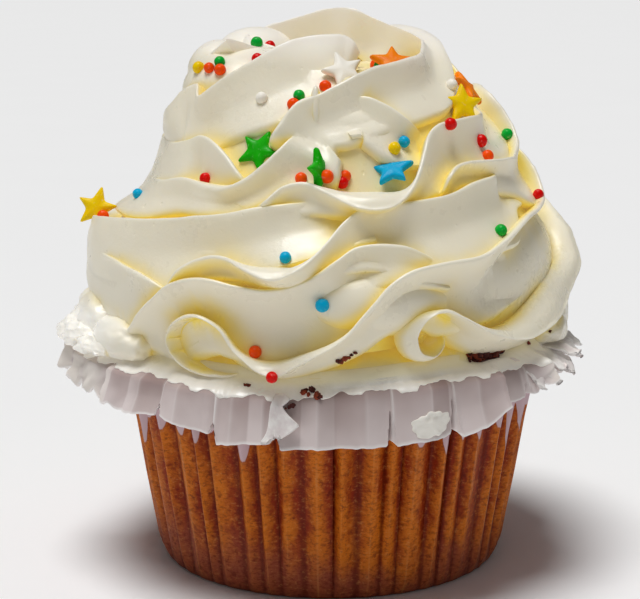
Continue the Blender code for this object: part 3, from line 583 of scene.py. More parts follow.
# the lip of each ruffle as it was piped: angle, height, how far it stands out or in, height of the face
# below it, and where it isn't plain, how far it is turned up and how hollow the face is
RUFFLES = (
    # lowest front ruffle on the right: curls, droops, then climbs round the right side and the back
    (
        (27.5, 38.2, -4, 1.2, 0, 2), (26.5, 36.4, -1.5, 1.6, 0, 2), (23, 35.0, 0, 2, 1, 2),
        (19.5, 35.6, 0, 2.4, 2.5, 1.5), (18, 38, 0, 2.8, 3, 1.5), (20, 40.4, 0, 3, 1.5, 2),
        (24.5, 41.4, 0, 3, 0, 2), (29, 40.2, 0.3, 3, 0, 1.5), (36, 37.9, 1, 3, 1),
        (44, 36.4, 1.5, 2.2, 2.5), (52, 36.4, 1.2, 2.5, 3.5), (62, 37.6, 0.8, 3.5, 4.5),
        (72, 39.2, 0, 5, 4.5), (81, 43, 0.4, 8.8, 3), (87, 47, 0, 9.8, 2), (97, 51, -0.3, 10.8),
        (120, 53, 0, 10.8), (180, 53.5, -0.5, 9.8), (225, 54, -1, 8.8), (270, 54.9, -0.2, 5, 0, -0.5),
        (300, 55.6, 0.2, 5, 0, -0.5), (315, 56.5, 0.3, 4.5, 0, -0.5), (323, 56.0, 0, 4, 1, -0.5),
        (330, 56.0, 0, 4, 1), (335, 56.9, 0, 4), (341, 59.2, 0, 5), (345, 61.2, -0.3, 7.8),
        (348, 62.6, -1.5, 7.8, 0, -1), (353, 63.6, -4.5, 6, 0, -1),
    ),
    # lowest front ruffle on the left: curls, droops, crosses the front and climbs on the right
    (
        (-19, 33.0, -5, 1.5, 0, 1), (-23, 32.2, -1.5, 1.8, 0, 2), (-30, 32.2, 0, 2.0, 0, 2.5),
        (-36.5, 33.2, 0, 2.6, 0, 2.5), (-39.5, 35.6, 0, 3, 0, 2.5), (-37.5, 38.4, 0, 3, 0, 2.5),
        (-31, 40.4, 0, 3, 0, 2.5), (-25, 39.2, 0, 3, 0, 2), (-20.5, 36, 0.5, 2.8, 0.5, 1),
        (-13, 33.6, 1.5, 1.6, 2.2), (-6, 35.5, 1.2, 2.4, 1.5), (2, 38.3, 0.5, 3.2, 0.5), (7, 41.5, 0, 4.5),
        (12, 44.9, 0, 7.8), (17, 46.6, 0, 8.8), (25, 47.3, 0, 9.3), (35, 47.7, 0, 9.3, 0, 0.3),
        (43, 49, 0, 9.3, 0, 1), (57, 51.2, 0, 9.8, 0, 2), (70, 51.5, -0.8, 8.8, 0, 3),
        (80, 52.6, -0.3, 8.8, 0, 3), (87, 56.2, 0.3, 9.8, 0, 2), (93, 59, -0.5, 9.8),
        (135, 60.2, -0.4, 8.8), (180, 60.4, -0.6, 8.8), (225, 60.6, -0.2, 8.8), (270, 60.6, 0, 8, 0, -1),
        (297, 60.4, -0.6, 8, 0, -1), (307, 61.2, -0.9, 8.8, 0, -1), (316, 62.0, -0.3, 9.3),
        (322, 61.4, 0, 9.8), (328, 59.8, 0, 8.8), (335, 57.1, -0.5, 4), (339, 54.8, -3, 2),
    ),
    # left ruffle that rises from the rim and runs in under the one before
    (
        (-64, 30.5, -3, 2), (-59, 32.5, 0, 3), (-49, 38.5, 0, 7.8), (-42, 41.7, 0, 8.8),
        (-36, 44.2, 0, 9.8), (-29, 45.2, 0, 9.8), (-21, 44.6, -0.5, 9.8), (-13, 44.2, -1.2, 9.8),
        (-5, 45.6, -1.2, 9.8), (1, 48, -0.5, 7.8), (6, 49.5, -0.5, 6), (17, 49.3, -0.6, 4.5, 0, -0.5),
        (23, 47.7, -2.0, 3.6, 0, -0.5), (29, 45.4, -6, 2),
    ),
    # middle ruffle across the front
    (
        (-45, 41.0, -5, 2), (-39, 43.0, -1, 2.5), (-35, 45.9, 0, 3), (-29, 47.8, 0, 3.2), (-24, 48.0, 0, 3),
        (-18, 47, 0.8, 2.4, 1), (-12, 46.1, 1.5, 2.2, 2), (-7, 47.2, 1, 3, 1), (-2, 49.7, 0.4, 4.5),
        (3, 52.5, 0, 7.3), (8, 54.1, 0, 8.3), (20, 54.6, 0, 8.8), (31, 55.1, 0, 8.8), (42, 56.3, 0, 8.8),
        (52, 56.6, -0.6, 8.3), (59, 56.5, -3, 5), (64, 56, -6, 4),
    ),
    # back ruffle that comes round the left side to the front
    (
        (72, 38, -5, 5), (85, 40.5, -1.5, 7.8), (105, 42, -0.3, 8.8), (135, 42.5, 0, 8.8),
        (180, 44.5, 0, 8.8), (225, 46.5, 0, 7.8), (265, 48.6, 0.8, 6, 0, -1),
        (290, 50.2, 1.0, 7.8, 0, -1.5), (312, 51.4, 0.4, 8.8, 0, -0.5), (325, 52.3, 0, 8.8),
        (335, 53.1, 0, 8.8), (343, 54.0, -0.4, 7.8), (351, 54.4, -1.4, 7), (360, 54.6, -2.8, 6),
        (370, 54.8, -5, 5),
    ),
    # low ruffle on the left side, full and hardly turned out
    (
        (-200, 36.0, -5, 4), (-175, 37.5, -1, 5), (-150, 39, -0.5, 7.8), (-120, 42, 0, 8.8),
        (-95, 45.0, -0.4, 8.3, 0, -1.5), (-75, 45.8, -0.5, 8.8, 0, -1.8), (-58, 45.4, -0.6, 9.8, 0, -1.5),
        (-44, 44.0, -0.8, 9.8, 0, -1), (-36, 42.0, -2.5, 8.8), (-30, 41, -5, 5),
    ),
    # short curl on the right that climbs round the back
    (
        (29.5, 53.6, -5, 1.2), (31, 55.2, -1.5, 2.0), (33, 57.2, 0, 2.8), (37, 58.5, 0, 3.2),
        (42, 58.9, 0, 3.5), (52, 58.7, 0, 4), (63, 58.5, 0, 5), (74, 58.3, -0.8, 7.3), (83, 60, 0, 7.8),
        (90, 63.4, 0.3, 8.8), (96, 66, 0, 8.8), (120, 67.5, 0, 8.8), (180, 68, -0.4, 8.8),
        (225, 67, -1.5, 7.8), (250, 66, -4, 4),
    ),
    # ruffle across the upper front: droops, stands up on the right and climbs to the top at the back
    (
        (-24, 52.5, -5, 2), (-17.5, 54.5, 0, 2.6), (-13, 56.5, 0, 3.5), (-7, 57, 0, 4),
        (-2, 56.2, 0.5, 3.2, 1), (7, 54.4, 1.5, 1.8, 2.8), (13, 54.4, 1.8, 1.8, 2.8),
        (18, 55.6, 1.5, 2.5, 1.5), (22, 57.4, 1, 4), (26, 60, 0.4, 7.3), (30, 62.4, 0, 8.8),
        (35, 63.7, 0, 8.8), (50, 64.2, -0.5, 8.8), (64, 64.3, -1.2, 7.8), (75, 65.6, -3.5, 7.8),
        (84, 69, -2.5, 8.8), (95, 71.6, -2.5, 8.8), (120, 73.2, -1.5, 8.8), (180, 73.8, -0.5, 8.8),
        (225, 73.4, 0.2, 8.8), (245, 72.6, 0, 8.8), (258, 70.8, -0.5, 7.8), (270, 68, -3, 5),
        (278, 65.5, -7, 4),
    ),
    # ruffle that climbs the front to the peak and closes in a loop round a hollow
    (
        (-22, 60.3, -5, 2), (-18, 62.7, 0, 4), (-15, 64.9, 0, 7.3), (-11, 66.9, 0, 7.3),
        (-4, 67.8, 0, 7.3, -0.5), (3, 69.1, 0, 7.8, -1), (15, 70.8, 0, 8.3, -2), (29, 71.7, 0, 8.3, -2.5),
        (42, 72.3, -0.3, 7.8, -3), (56, 73.0, -2.0, 5.5, -3), (72, 74.2, -2.6, 4, -3),
        (92, 75.2, -3.0, 4.5, -1), (118, 76.5, -2.6, 6, -1), (140, 77.8, -1.6, 9.8, -1),
        (165, 78.15, -1, 9.8, -1), (190, 77.75, -1, 9.8, -1), (215, 76.7, -1.5, 9.8, -1),
        (250, 75.0, -2.5, 9.8, -1), (285, 74.0, -4.5, 5), (300, 73, -8, 3),
    ),
    # topmost fold, from the left side to the peak
    (
        (-125, 59.5, -6, 3), (-105, 61.0, -3, 4), (-88, 62.8, -1.4, 5, 0, -1),
        (-74, 65.2, -0.3, 6, 0, -1.5), (-64, 67.8, 0, 8, 0, -1), (-59, 68.4, 0, 8, 0, -1),
        (-55, 66.8, -0.5, 7, 0, -0.5), (-51, 67.6, 0, 8), (-45, 69.4, 0, 8.8), (-38, 71.0, 0, 9.8),
        (-32, 72.4, 0, 10.8), (-25, 73.7, 0, 11.3), (-15, 74.8, 0, 11.3), (2, 75, -1.2, 10.8),
        (12, 74.6, -2.8, 9.8), (20, 72.5, -6, 7.8),
    ),
    # small fold under the peak
    (
        (1, 65.0, -5.5, 4), (6, 66.6, -3.0, 5), (12, 67.4, -1.4, 6), (19, 66.4, -0.8, 6),
        (25, 64.6, -1.0, 6), (31, 63, -2.8, 5.5), (36, 61.8, -5, 4),
    ),
)
# soft lumps of cream at the rim, under the lips in front and at the upper left: angle, radius, height,
# half sizes out, across and up, and how crumpled they are
LUMPS = (
    (-73, 31.8, 35.9, 5.0, 6.0, 3.9, 0.42), (-59, 32.2, 34.2, 4.0, 6.4, 3.2, 0.42),
    (-88, 31.4, 35.4, 4.8, 6.4, 3.8, 0.45), (-66, 34.6, 33.0, 3.2, 5.4, 2.1, 0.75),
    (-79, 35.2, 33.6, 3.6, 5.4, 2.6, 0.75), (-72, 35.4, 34.0, 3.0, 4.0, 2.4, 0.75),
    (72, 31.4, 34.6, 3.0, 6.0, 2.6, 0.3), (86, 31.0, 35.6, 3.2, 7.0, 3.2, 0.3),
    (-5.6, 20.9, 65.6, 1.2, 0.75, 3.2), (9, 18.4, 60.0, 4.4, 9.5, 6.6), (12, 29.6, 42.0, 4.2, 9, 4.6),
    (-73, 12.0, 66.8, 9.2, 9.0, 6.4), (-112, 11.5, 70.8, 6.0, 6.2, 4.6), (-88, 15.5, 69.2, 4.6, 5.4, 4.6),
)
# how many points each span of a section takes, from its root over the lip and back
SPANS = (3, 4, 4, 3, 6, 6, 4, 3)
LIP_PART, FACE_PARTS = 14, 13  # the point of a section that is the lip, and how many lie on the face
LIP_WOBBLE, LINE_DEPTH = 0.16, 0.07  # unevenness of the lip, and depth of the lines on the face


def outline(height, angle=None):
    """radius that the lips reach, and with an angle, less at the waist on the left"""
    heights, radii = zip(*OUTLINE)
    radius = np.interp(height, heights, radii)
    if angle is not None:
        side = hump((np.asarray(angle) + 270) % 360 - 180, 45)
        radius = radius - WAIST * side * np.interp(height, (50, 53, 59, 64), (0, 1, 1, 0))
    return radius


def weights(t):
    """how far a start, its slope, an end and its slope count, part of the way along a smooth curve"""
    return 2 * t**3 - 3 * t**2 + 1, t**3 - 2 * t**2 + t, 3 * t**2 - 2 * t**3, t**3 - t**2


def path(rows):
    """stations evenly spaced along a smooth curve through the rows, and their lip points"""
    rows = np.array([tuple(row) + (0,) * (6 - len(row)) for row in rows], float)

    def lip(keys):
        return at(keys[:, 0], outline(keys[:, 1], keys[:, 0]) + keys[:, 2], keys[:, 1])

    chord = np.linalg.norm(np.diff(lip(rows), axis=0), axis=1)
    knots = np.r_[0, np.cumsum(np.sqrt(chord))]
    span = np.diff(knots)
    slope = np.diff(rows, axis=0) / span[:, None]
    tangent = np.vstack([slope[:1], np.zeros_like(rows[1:-1]), slope[-1:]])
    inner = slope[:-1] * span[1:, None] + slope[1:] * span[:-1, None]
    tangent[1:-1] = inner / (span[1:] + span[:-1])[:, None]
    fine = np.linspace(0, knots[-1], 1 + int(chord.sum() / 0.2))
    i = np.clip(np.searchsorted(knots, fine, side="right") - 1, 0, len(span) - 1)
    t, width = ((fine - knots[i]) / span[i])[:, None], span[i][:, None]
    start, leaving, end, coming = weights(t)
    keys = start * rows[i] + leaving * width * tangent[i]
    keys += end * rows[i + 1] + coming * width * tangent[i + 1]
    back = np.clip((np.cos(np.radians(keys[:, 0] - 175)) - 0.15) / 0.6, 0, 1)
    back *= np.clip((outline(keys[:, 1]) - 14) / 4, 0, 1)
    keys[:, 1] += back * SWAY * np.sin(np.radians(6 * keys[:, 0]) + 0.16 * keys[:, 1])
    keys[:, 2] += back * 0.4 * SWAY * np.sin(np.radians(5 * keys[:, 0]) + 0.1 * keys[:, 1])
    along = np.r_[0, np.cumsum(np.linalg.norm(np.diff(lip(keys), axis=0), axis=1))]
    even = np.linspace(0, along[-1], 1 + round(along[-1] / STATION))
    keys = np.stack([np.interp(even, along, column) for column in keys.T], 1)
    return keys, lip(keys)


def section(face, foot, rise, hollow, root):
    """(out, down) from the root over the lip and down the face, and back to the root"""
    cupped = 0.3 + 0.09 * face + hollow
    return np.array(
        [
            (-root, 1.8 - 0.7 * rise), (-3.2, 1.2 - rise), (-1.0, 0.15 - 0.45 * rise), (-0.2, -0.1),
            (0.05, 0.25), (0.45 * foot - cupped, 0.5 * face), (foot, face), (foot - 1.6, face + 0.8),
            (-root, 0.7 * face + 1.0),
        ]
    )


def rounded(points):
    """a smooth curve through the points of each section, fuller where they stand apart"""
    step = np.diff(points, axis=1)
    length = np.linalg.norm(step, axis=2, keepdims=True)
    middle = unit(points[:, 2:] - points[:, :-2]) * np.minimum(length[:, 1:], length[:, :-1])
    tangent = np.concatenate([step[:, :1], middle, step[:, -1:]], 1)
    found = []
    for i, count in enumerate(SPANS):
        start, leaving, end, coming = weights((np.arange(count) / count)[None, :, None])
        here, there = slice(i, i + 1), slice(i + 1, i + 2)
        span = start * points[:, here] + leaving * tangent[:, here]
        found.append(span + end * points[:, there] + coming * tangent[:, there])
    return np.concatenate(found + [points[:, -1:]], 1)


def ruffle(rows):
    """the ruffle as closed lofts: a new one starts where the lip turns back"""
    keys, lips = path(rows)
    smooth = lips.copy()
    for _ in range(24):  # the sections turn evenly round the tight curls
        smooth[1:-1] = 0.25 * smooth[:-2] + 0.5 * smooth[1:-1] + 0.25 * smooth[2:]
    along = unit(np.gradient(smooth, axis=0))
    out = unit(at(keys[:, 0], 1.0, np.interp(keys[:, 1], *zip(*TIPPED))))
    down = np.cross(unit(along - (out * along).sum(1, keepdims=True) * out), out)
    rings = []
    for lip, o, d, (angle, _, _, face, rise, hollow) in zip(lips, out, down, keys):
        end = lip + d * face
        foot = np.clip(outline(end[2], angle) - TUCK - hollow - math.hypot(end[0], end[1]), -7, 7)
        shape = section(face, foot, rise, hollow, min(ROOT, 0.72 * math.hypot(lip[0], lip[1])))
        rings.append(lip + o * shape[:, :1] + d * shape[:, 1:])
    rings = rounded(np.array(rings))
    # the torn edge of the nozzle leaves an uneven lip, and fine lines that run along the face
    seed = 10 * rows[0][0]
    run, part = np.arange(len(rings)) * STATION, np.arange(rings.shape[1])
    wobble = [noise.noise((s / 2.6, seed, 0)) + 0.5 * noise.noise((s / 0.9, seed, 5)) for s in run]
    near_lip = hump(part - LIP_PART, 2.2)
    rings += (LIP_WOBBLE * np.array(wobble)[:, None] * near_lip)[..., None] * (out - down)[:, None]
    lines = np.array([[noise.noise((s / 11, j * 0.9, seed)) for j in part] for s in run])
    on_face = (part > LIP_PART) * (part < LIP_PART + FACE_PARTS)
    rings += (LINE_DEPTH * lines * on_face)[..., None] * out[:, None]
    floor = rim(np.degrees(np.arctan2(rings[..., 0], -rings[..., 1]))) + CLEARANCE + 0.1
    rings[..., 2] = np.maximum(rings[..., 2], floor + 0.004 * np.arange(rings.shape[1]))
    turning = np.sign(np.diff(keys[:, 0]))
    turns = [0] + [i for i in range(1, len(turning)) if turning[i] != turning[i - 1]] + [len(keys) - 1]
    return [
        loft("ruffle", rings[max(start - 2, 0) : end + 2])
        for start, end in zip(turns[:-1], turns[1:])
        if end > start
    ]


def pebble(subdivisions):
    """points and faces of a ball of radius 1"""
    ball = bmesh.new()
    bmesh.ops.create_icosphere(ball, subdivisions=subdivisions, radius=1)
    points = np.array([vert.co for vert in ball.verts])
    faces = [[vert.index for vert in face.verts] for face in ball.faces]
    ball.free()
    return points, faces


def lump(angle, radius, height, half_out, half_across, half_up, crumple=0.0):
    points, faces = pebble(5)
    if crumple:  # creased where the paper and the spoon have pushed it
        for point in points:
            spot = Vector(point + angle)
            crease, fine = abs(noise.noise(spot * 1.6 + Vector((7, 0, 0)))), abs(noise.noise(spot * 3.1))
            point *= 1 + crumple * (0.4 * noise.noise(spot) - 0.5 * crease + 0.16 * fine + 0.15)
    points *= (half_across, half_out, half_up)
    swing = math.radians(angle)
    x = points[:, 0] * math.cos(swing) - points[:, 1] * math.sin(swing)
    y = points[:, 0] * math.sin(swing) + points[:, 1] * math.cos(swing)
    points = np.stack([x, y, points[:, 2]], 1) + at(angle, radius, height)
    points[:, 2] = np.maximum(points[:, 2], float(rim(angle)) + CLEARANCE + 0.15)
    return closed_mesh("lump", points, faces)


def joined(name, bodies):
    """one body from overlapping bodies"""
    group = bpy.data.collections.new("group")
    bpy.context.scene.collection.children.link(group)
    for body in bodies[1:]:
        bpy.context.scene.collection.objects.unlink(body)
        group.objects.link(body)
    result = bodies[0]
    result.name = name
    union = result.modifiers.new("union", "BOOLEAN")
    union.operation = "UNION"
    union.operand_type = "COLLECTION"
    union.collection = group
    union.solver = "MANIFOLD"
    bpy.context.view_layer.objects.active = result
    bpy.ops.object.modifier_apply(modifier=union.name)
    for body in bodies[1:]:
        bpy.data.objects.remove(body)
    bpy.data.collections.remove(group)
    return result


def largest_shell(obj):
    """drops loose scraps and sealed hollows"""
    work = bmesh.new()
    work.from_mesh(obj.data)
    left, largest = set(work.faces), set()
    while left:
        shell, open_faces = set(), [left.pop()]
        while open_faces:
            face = open_faces.pop()
            shell.add(face)
            near = {other for side in face.edges for other in side.link_faces} & left
            left -= near
            open_faces += near
        largest = max(largest, shell, key=len)
    bmesh.ops.delete(work, geom=[face for face in work.faces if face not in largest], context="FACES")
    bmesh.ops.delete(work, geom=[vert for vert in work.verts if not vert.link_faces], context="VERTS")
    bmesh.ops.triangulate(work, faces=work.faces, ngon_method="EAR_CLIP")
    work.to_mesh(obj.data)
    work.free()


turn = np.linspace(-180, 180, 360, endpoint=False)
edge = 32.0 + 0.4 * np.sin(np.radians(3 * turn + 20)) + 0.25 * np.sin(np.radians(7 * turn))
edge -= GAP_DEPTH * hump(turn - GAP_AT, 6)
low = rim(turn) + 0.06
base = [(26, low), (edge - 1.2, low), (edge - 0.3, low + 0.1), (edge, low + 0.5), (edge - 0.4, low + 1.2)]
base += [(edge - 1.2, low + 2.0), (edge - 3.0, low + 3.0), (edge - 5, low + 3.6), (14, low + 6)]
base = loft("base", [at(turn, radius, height) for radius, height in base])
core = []
for z in np.linspace(35.5, 70.5, 18):
    radius = max(float(outline(z)) - CORE_INSET, 2.0) + 0 * turn[::3]
    for angle, height in CURLS:  # the cream is hollow inside the two curls
        radius -= 5.5 * hump(turn[::3] - angle, 9) * hump(z - height, 3.5)
    core.append(at(turn[::3], radius, z))
bodies = [base, loft("core", core)]
for rows in RUFFLES:
    bodies += ruffle(rows)
bodies += [lump(*row) for row in LUMPS]
cream = joined("piped_cream", bodies)
largest_shell(cream)


def read(parts, name, width, kind=float):
    """one property of all the points or edges of a mesh"""
    values = np.empty(width * len(parts), kind)
    parts.foreach_get(name, values)
    return values.reshape(-1, width)


mesh = cream.data
points, normals = read(mesh.vertices, "co", 3), read(mesh.vertices, "normal", 3)
sides = read(mesh.edges, "vertices", 2, int)
count = len(points)
degree = np.bincount(sides.ravel(), minlength=count).clip(1)


def softened(values, rounds):
    """each point's value drawn towards those of its neighbours"""
    for _ in range(rounds):
        total = np.bincount(sides[:, 0], values[sides[:, 1]], count)
        total += np.bincount(sides[:, 1], values[sides[:, 0]], count)
        values = 0.5 * values + 0.5 * total / degree
    return values


# how closed in each point is by cream nearby, from rays over the half sphere round its normal
REACH = 7.0
RAYS = 30
GOLDEN_ANGLE = 2.39996
tree = BVHTree.FromObject(cream, bpy.context.evaluated_depsgraph_get())
rays = []
for i in range(RAYS):
    tilt, swing = math.sqrt((i + 0.5) / RAYS), i * GOLDEN_ANGLE
    rays.append((tilt * math.cos(swing), tilt * math.sin(swing), math.sqrt(1 - tilt * tilt)))
rays = np.array(rays)
first = unit(np.cross(normals, (0.31, 0.17, 0.94)))
second = np.cross(normals, first)
closed_in = np.zeros(count)
for i in range(count):
    ways = rays[:, :1] * first[i] + rays[:, 1:2] * second[i] + rays[:, 2:] * normals[i]
    start = Vector(points[i] + 0.06 * MM * normals[i])
    met = 0.0
    for way in ways.tolist():
        distance = tree.ray_cast(start, way, REACH * MM)[3]
        if distance is not None:
            met += 1 - distance / (REACH * MM)
    closed_in[i] = met / RAYS
closed_in = softened(closed_in, 4)
# the crumpled cream at the rim on the left is white right through; it loses the painted fold shade and is
# given a painted glow, lifting it out of its own shadow
bearing, level = np.degrees(np.arctan2(points[:, 0], -points[:, 1])), points[:, 2] / MM
chalky = hump(bearing + 74, 20, 4) * np.clip((39 - level) / 2, 0, 1)
closed_in *= 1 - 0.8 * chalky
# the hood at the top loses its painted fold shade, is painted white and is given a painted glow, for the
# light its thin cream lets through
hood = np.clip((level - 71) / 3, 0, 1)  # the thin hood at the top lets light through
closed_in *= 1 - 0.9 * hood
# on the right it is foamy, with small burst bubbles
field(cream, "foamy", hump(bearing - 66, 18, 4) * hump(level - 41, 5, 4))
field(cream, "hood", hood)
field(cream, "chalky", np.maximum(chalky, 0.7 * hood))
field(cream, "closed_in", closed_in)
# the cream is slightly uneven, in waves of about 4.5 mm and finer ones of 1.6 mm
relief = uneven(points / MM / 4.5) * 0.12 + uneven(points / MM / 1.6) * 0.035
mesh.vertices.foreach_set("co", (points + normals * (relief * MM)[:, None]).ravel())
mesh.set_sharp_from_angle(angle=math.radians(42))

CREAM_WHITE, CREAM_FOLD_SHADE, FOLD_SHADE_YELLOW = colour(247, 239, 218), colour(248, 231, 170), colour(250, 224, 88)
CHALK, CHALK_GLOW = colour(253, 249, 241), colour(246, 242, 234)
DARK, FOLD_GLOW, HOOD_GLOW = colour(0, 0, 0), colour(208, 196, 131), colour(255, 238, 228)
shader, paint = finish(
    cream,
    "whipped_cream",
    Subsurface_Weight=0.3,
    Subsurface_Scale=0.002,
    Subsurface_Radius=(1.0, 0.92, 0.75),
    Emission_Strength=0.11,
)
closed = paint.kept("closed_in") + (paint.noise(3.0, 2) - 0.5) * 0.08
chalky, foamy = paint.kept("chalky"), paint.kept("foamy")
# painted shade in the folds: the more closed in a point is, the stronger the yellow it is painted
body = paint.coated(
    CREAM_WHITE,
    (closed.between(0.02, 0.34), CREAM_FOLD_SHADE),
    (closed.between(0.26, 0.62), FOLD_SHADE_YELLOW),
    (chalky * 0.9, CHALK),
)
# painted glow: an emission lifts the narrow folds to a warm yellow, standing in for light that wanders
# through the cream; the crumpled rim and the hood are given a painted glow too
glow = paint.coated(
    DARK,
    (closed.between(0.12, 0.62), FOLD_GLOW),
    (chalky, CHALK_GLOW),
    (paint.kept("hood"), HOOD_GLOW),
)
wet = paint.noise(9, 1).between(0.4, 0.8)
gloss = paint.noise(2.0, 3) * 0.3 + 0.2 - wet * 0.1 - foamy * 0.08
feed(shader, Base_Color=body, Roughness=gloss, Emission_Color=glow)
bubbles = (paint.noise(0.55, 3, rough=0.6) - 0.5) * (wet * 1.2 + foamy * 2.4 + 0.3)
pits = paint.noise(1.5, 1).between(0.74, 0.82)
bump(shader, bubbles + paint.noise(2.0, 3) * 0.45 - pits * 1.2, 0.4, 0.13)
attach(cream, "root")
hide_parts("cream")

# ----------------------------------------------------------
# Cream film: the foot of the cream was dragged over the crest of the paper, where it ends in torn
# flakes. One smear of it has dried on a panel in front.
reach = 0.33 + 0.09 * ripple(columns, 51, (5, 9, 17)) + 0.045 * ripple(columns, 52, (27, 38, 61), 3)
reach += 0.012 * ripple(columns, 53, (130, 170, 210))
open_gap = hump(columns - 42, GAP_WIDE)
foot_r = np.maximum(np.interp(columns, turn, edge, period=360), 31.0)
coat = 0.09 + 0.04 * ripple(columns, 54, (11, 23, 41)) + 0.03 * ripple(columns, 55, (67, 101, 150))
coat *= 1 - 0.6 * open_gap
# how far across the film, and its thickness there; the same for the smear, from its middle outwards
FILM_LEVELS = (
    (0, 2.2), (0.2, 1.5), (0.4, 1.1), (0.6, 1.0), (0.75, 0.95), (0.87, 0.9), (0.95, 0.75), (1.0, 0.4),
)
SMEAR_LEVELS = (
    (0.5, -0.05), (1.0, -0.05), (1.0, 0.05), (0.96, 0.12), (0.88, 0.17), (0.72, 0.14), (0.5, 0.12),
    (0.3, 0.13), (0.1, 0.15),
)
start = 0.16 - 0.12 * open_gap
reach = np.maximum(reach, start + 0.05)
# the film's inner rows lie on the foot of the cream: how far they are out and up from it
film_rows = [
    at(columns, foot_r + out, crest - 0.1 + (up + 0.1) * (1 - open_gap))
    for out, up in ((-1.6, 0.6), (-1.5, 2.1), (-0.9, 1.95), (-0.35, 1.3), (-0.02, 0.85))
]
across = [(share, coat * lift) for share, lift in FILM_LEVELS]
across += [(share, 0.02 + 0 * columns) for share in (0.97, 0.6, 0.3, 0.0)]
film_rows += [draped(columns, start + (reach - start) * share, lift) for share, lift in across]
film = loft("cream_film", np.array(film_rows).transpose(1, 0, 2), closed_round=True)
# painted fold shade where the film meets the foot of the cream; elsewhere the film is painted white with a
# painted glow
film_fold_shade = np.array([0.24] * 5 + [0.12 * (1 - share) ** 2.5 for share, _ in FILM_LEVELS] + [0.0] * 4)
field(film, "closed_in", np.tile(film_fold_shade, CASE_COLUMNS))
field(film, "chalky", np.tile(0.9 - 2.5 * film_fold_shade, CASE_COLUMNS).clip(0, 1))
round_at = np.linspace(0, 2 * math.pi, 60, endpoint=False)
blot = 1 + 0.1 * np.sin(2 * round_at + 1) + 0.06 * np.sin(5 * round_at) + 0.05 * np.sin(11 * round_at + 2)
smear_rows = []
for share, lift in SMEAR_LEVELS:
    clot = np.array([noise.noise((3 * share * math.cos(a), 3 * share * math.sin(a), 7)) for a in round_at])
    angles = 21.0 + 4.1 * share * blot * np.cos(round_at)
    smear_rows.append(draped(angles, 0.81 - 0.16 * share * blot * np.sin(round_at), lift * (1 + 1.4 * clot)))
smear = loft("cream_smear", smear_rows)
# the smear is painted white and given a painted glow
field(smear, "chalky", np.full(len(smear.data.vertices), 0.6))
for body in (film, smear):
    body.data.materials.append(cream.data.materials[0])
    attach(body, "root")
    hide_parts("cream")

# ----------------------------------------------------------
# Crumbs: bits of the cake that broke off at the rim. They lie in the open gap on the right, in torn
# holes of the film and on the cream nearby.
BAKED_DARK, BAKED_LIGHT, PORE_DARK = colour(74, 14, 4), colour(150, 58, 24), colour(48, 8, 2)
# angle, how far down the fringe, spread of each, number and size
CRUMBS = (
    (-4.4, 0.22, 1.6, 0.10, 9, 0.42), (-9.2, 0.46, 0.8, 0.03, 3, 0.3), (-19.8, 0.16, 0.7, 0.02, 2, 0.28),
    (40.5, -0.06, 8.0, 0.05, 110, 0.66),
)
# angle and height of single ones on the cream
LOOSE = (
    (58, 35.6), (60, 37.2), (63, 38.6), (66, 39.8), (55, 35.0), (61, 36.0), (57, 38.0), (1.5, 38.9),
    (2.2, 38.9), (2.9, 39.2), (3.7, 39.3), (4.4, 39.6), (5.2, 39.9),
)
surface = BVHTree.FromObject(cream, bpy.context.evaluated_depsgraph_get())
FALL = math.radians(17)  # how steeply they come down
OUTSIDE = 45.0  # a radius well outside the cream


def landing(angle, across, height):
    """where a line that comes in from this angle and slopes down meets the cream, and the normal there"""
    start = at(angle, OUTSIDE, height) + across * at(angle + 90, 1.0, 0.0)
    way = at(angle, -math.cos(FALL), -math.sin(FALL))
    spot, normal, _, _ = surface.ray_cast(Vector(start * MM), Vector(way))
    return (np.array(spot) / MM, np.array(normal)) if spot else None


def together(name, parts):
    """one mesh from many small closed ones, each given as points, faces and a tint"""
    points, faces, tints = [], [], []
    for some_points, some_faces, tint in parts:
        faces += [[len(tints) + i for i in face] for face in some_faces]
        points.append(some_points)
        tints += [tint] * len(some_points)
    obj = closed_mesh(name, np.vstack(points), faces)
    field(obj, "tint", tints)
    return obj


draw = random.Random(77)
crumb_points, crumb_faces = pebble(3)


def crumb(centre, size):
    shift = draw.uniform(0, 90)
    rough = uneven(crumb_points * 1.4 + shift) + 0.6 * uneven(crumb_points * 3.5 + shift)
    shape = crumb_points * (1 + 0.55 * rough[:, None]) * np.array([draw.uniform(0.7, 1.3) for _ in range(3)])
    return shape * size + centre, crumb_faces, draw.random()


bits = []
for angle, share, wide, tall, number, size in CRUMBS:
    for _ in range(number):
        angles = np.array([angle + draw.gauss(0, 0.5) * wide])
        place = share + draw.uniform(-1, 1) * tall
        if place > 0:
            centre = draped(angles, np.array([place]), np.array([0.22]))[0]
        else:  # inside the crest, on the cake
            centre = at(angles, 30.8 + 12 * place, rim(angles) + 0.2 + draw.uniform(0, 1.4))[0]
        bits.append(crumb(centre, size * draw.uniform(0.5, 1.1)))
for angle, height in LOOSE:
    found = landing(angle, 0, height)
    if found:
        bits.append(crumb(found[0], draw.uniform(0.2, 0.42)))
crumbs = together("cake_crumbs", bits)
shader, paint = finish(crumbs, "loose_crumb", Roughness=0.8)
light, pore = paint.kept("tint").between(0.1, 0.9), paint.noise(0.3, 4).between(0.5, 0.65) * 0.6
feed(shader, Base_Color=paint.coated(BAKED_DARK, (light, BAKED_LIGHT), (pore, PORE_DARK)))
bump(shader, paint.noise(0.3, 4), 0.8, 0.2)
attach(crumbs, "root")
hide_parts("cake")

# ----------------------------------------------------------
# Ball sprinkles: small sugar beads with a hard, glossy, coloured shell, which fell on to the wet
# cream and stuck in it.
BALL_R = 0.83
RED, ORANGE, BLUE, GREEN, YELLOW, WHITE, AMBER, LEAF = range(8)
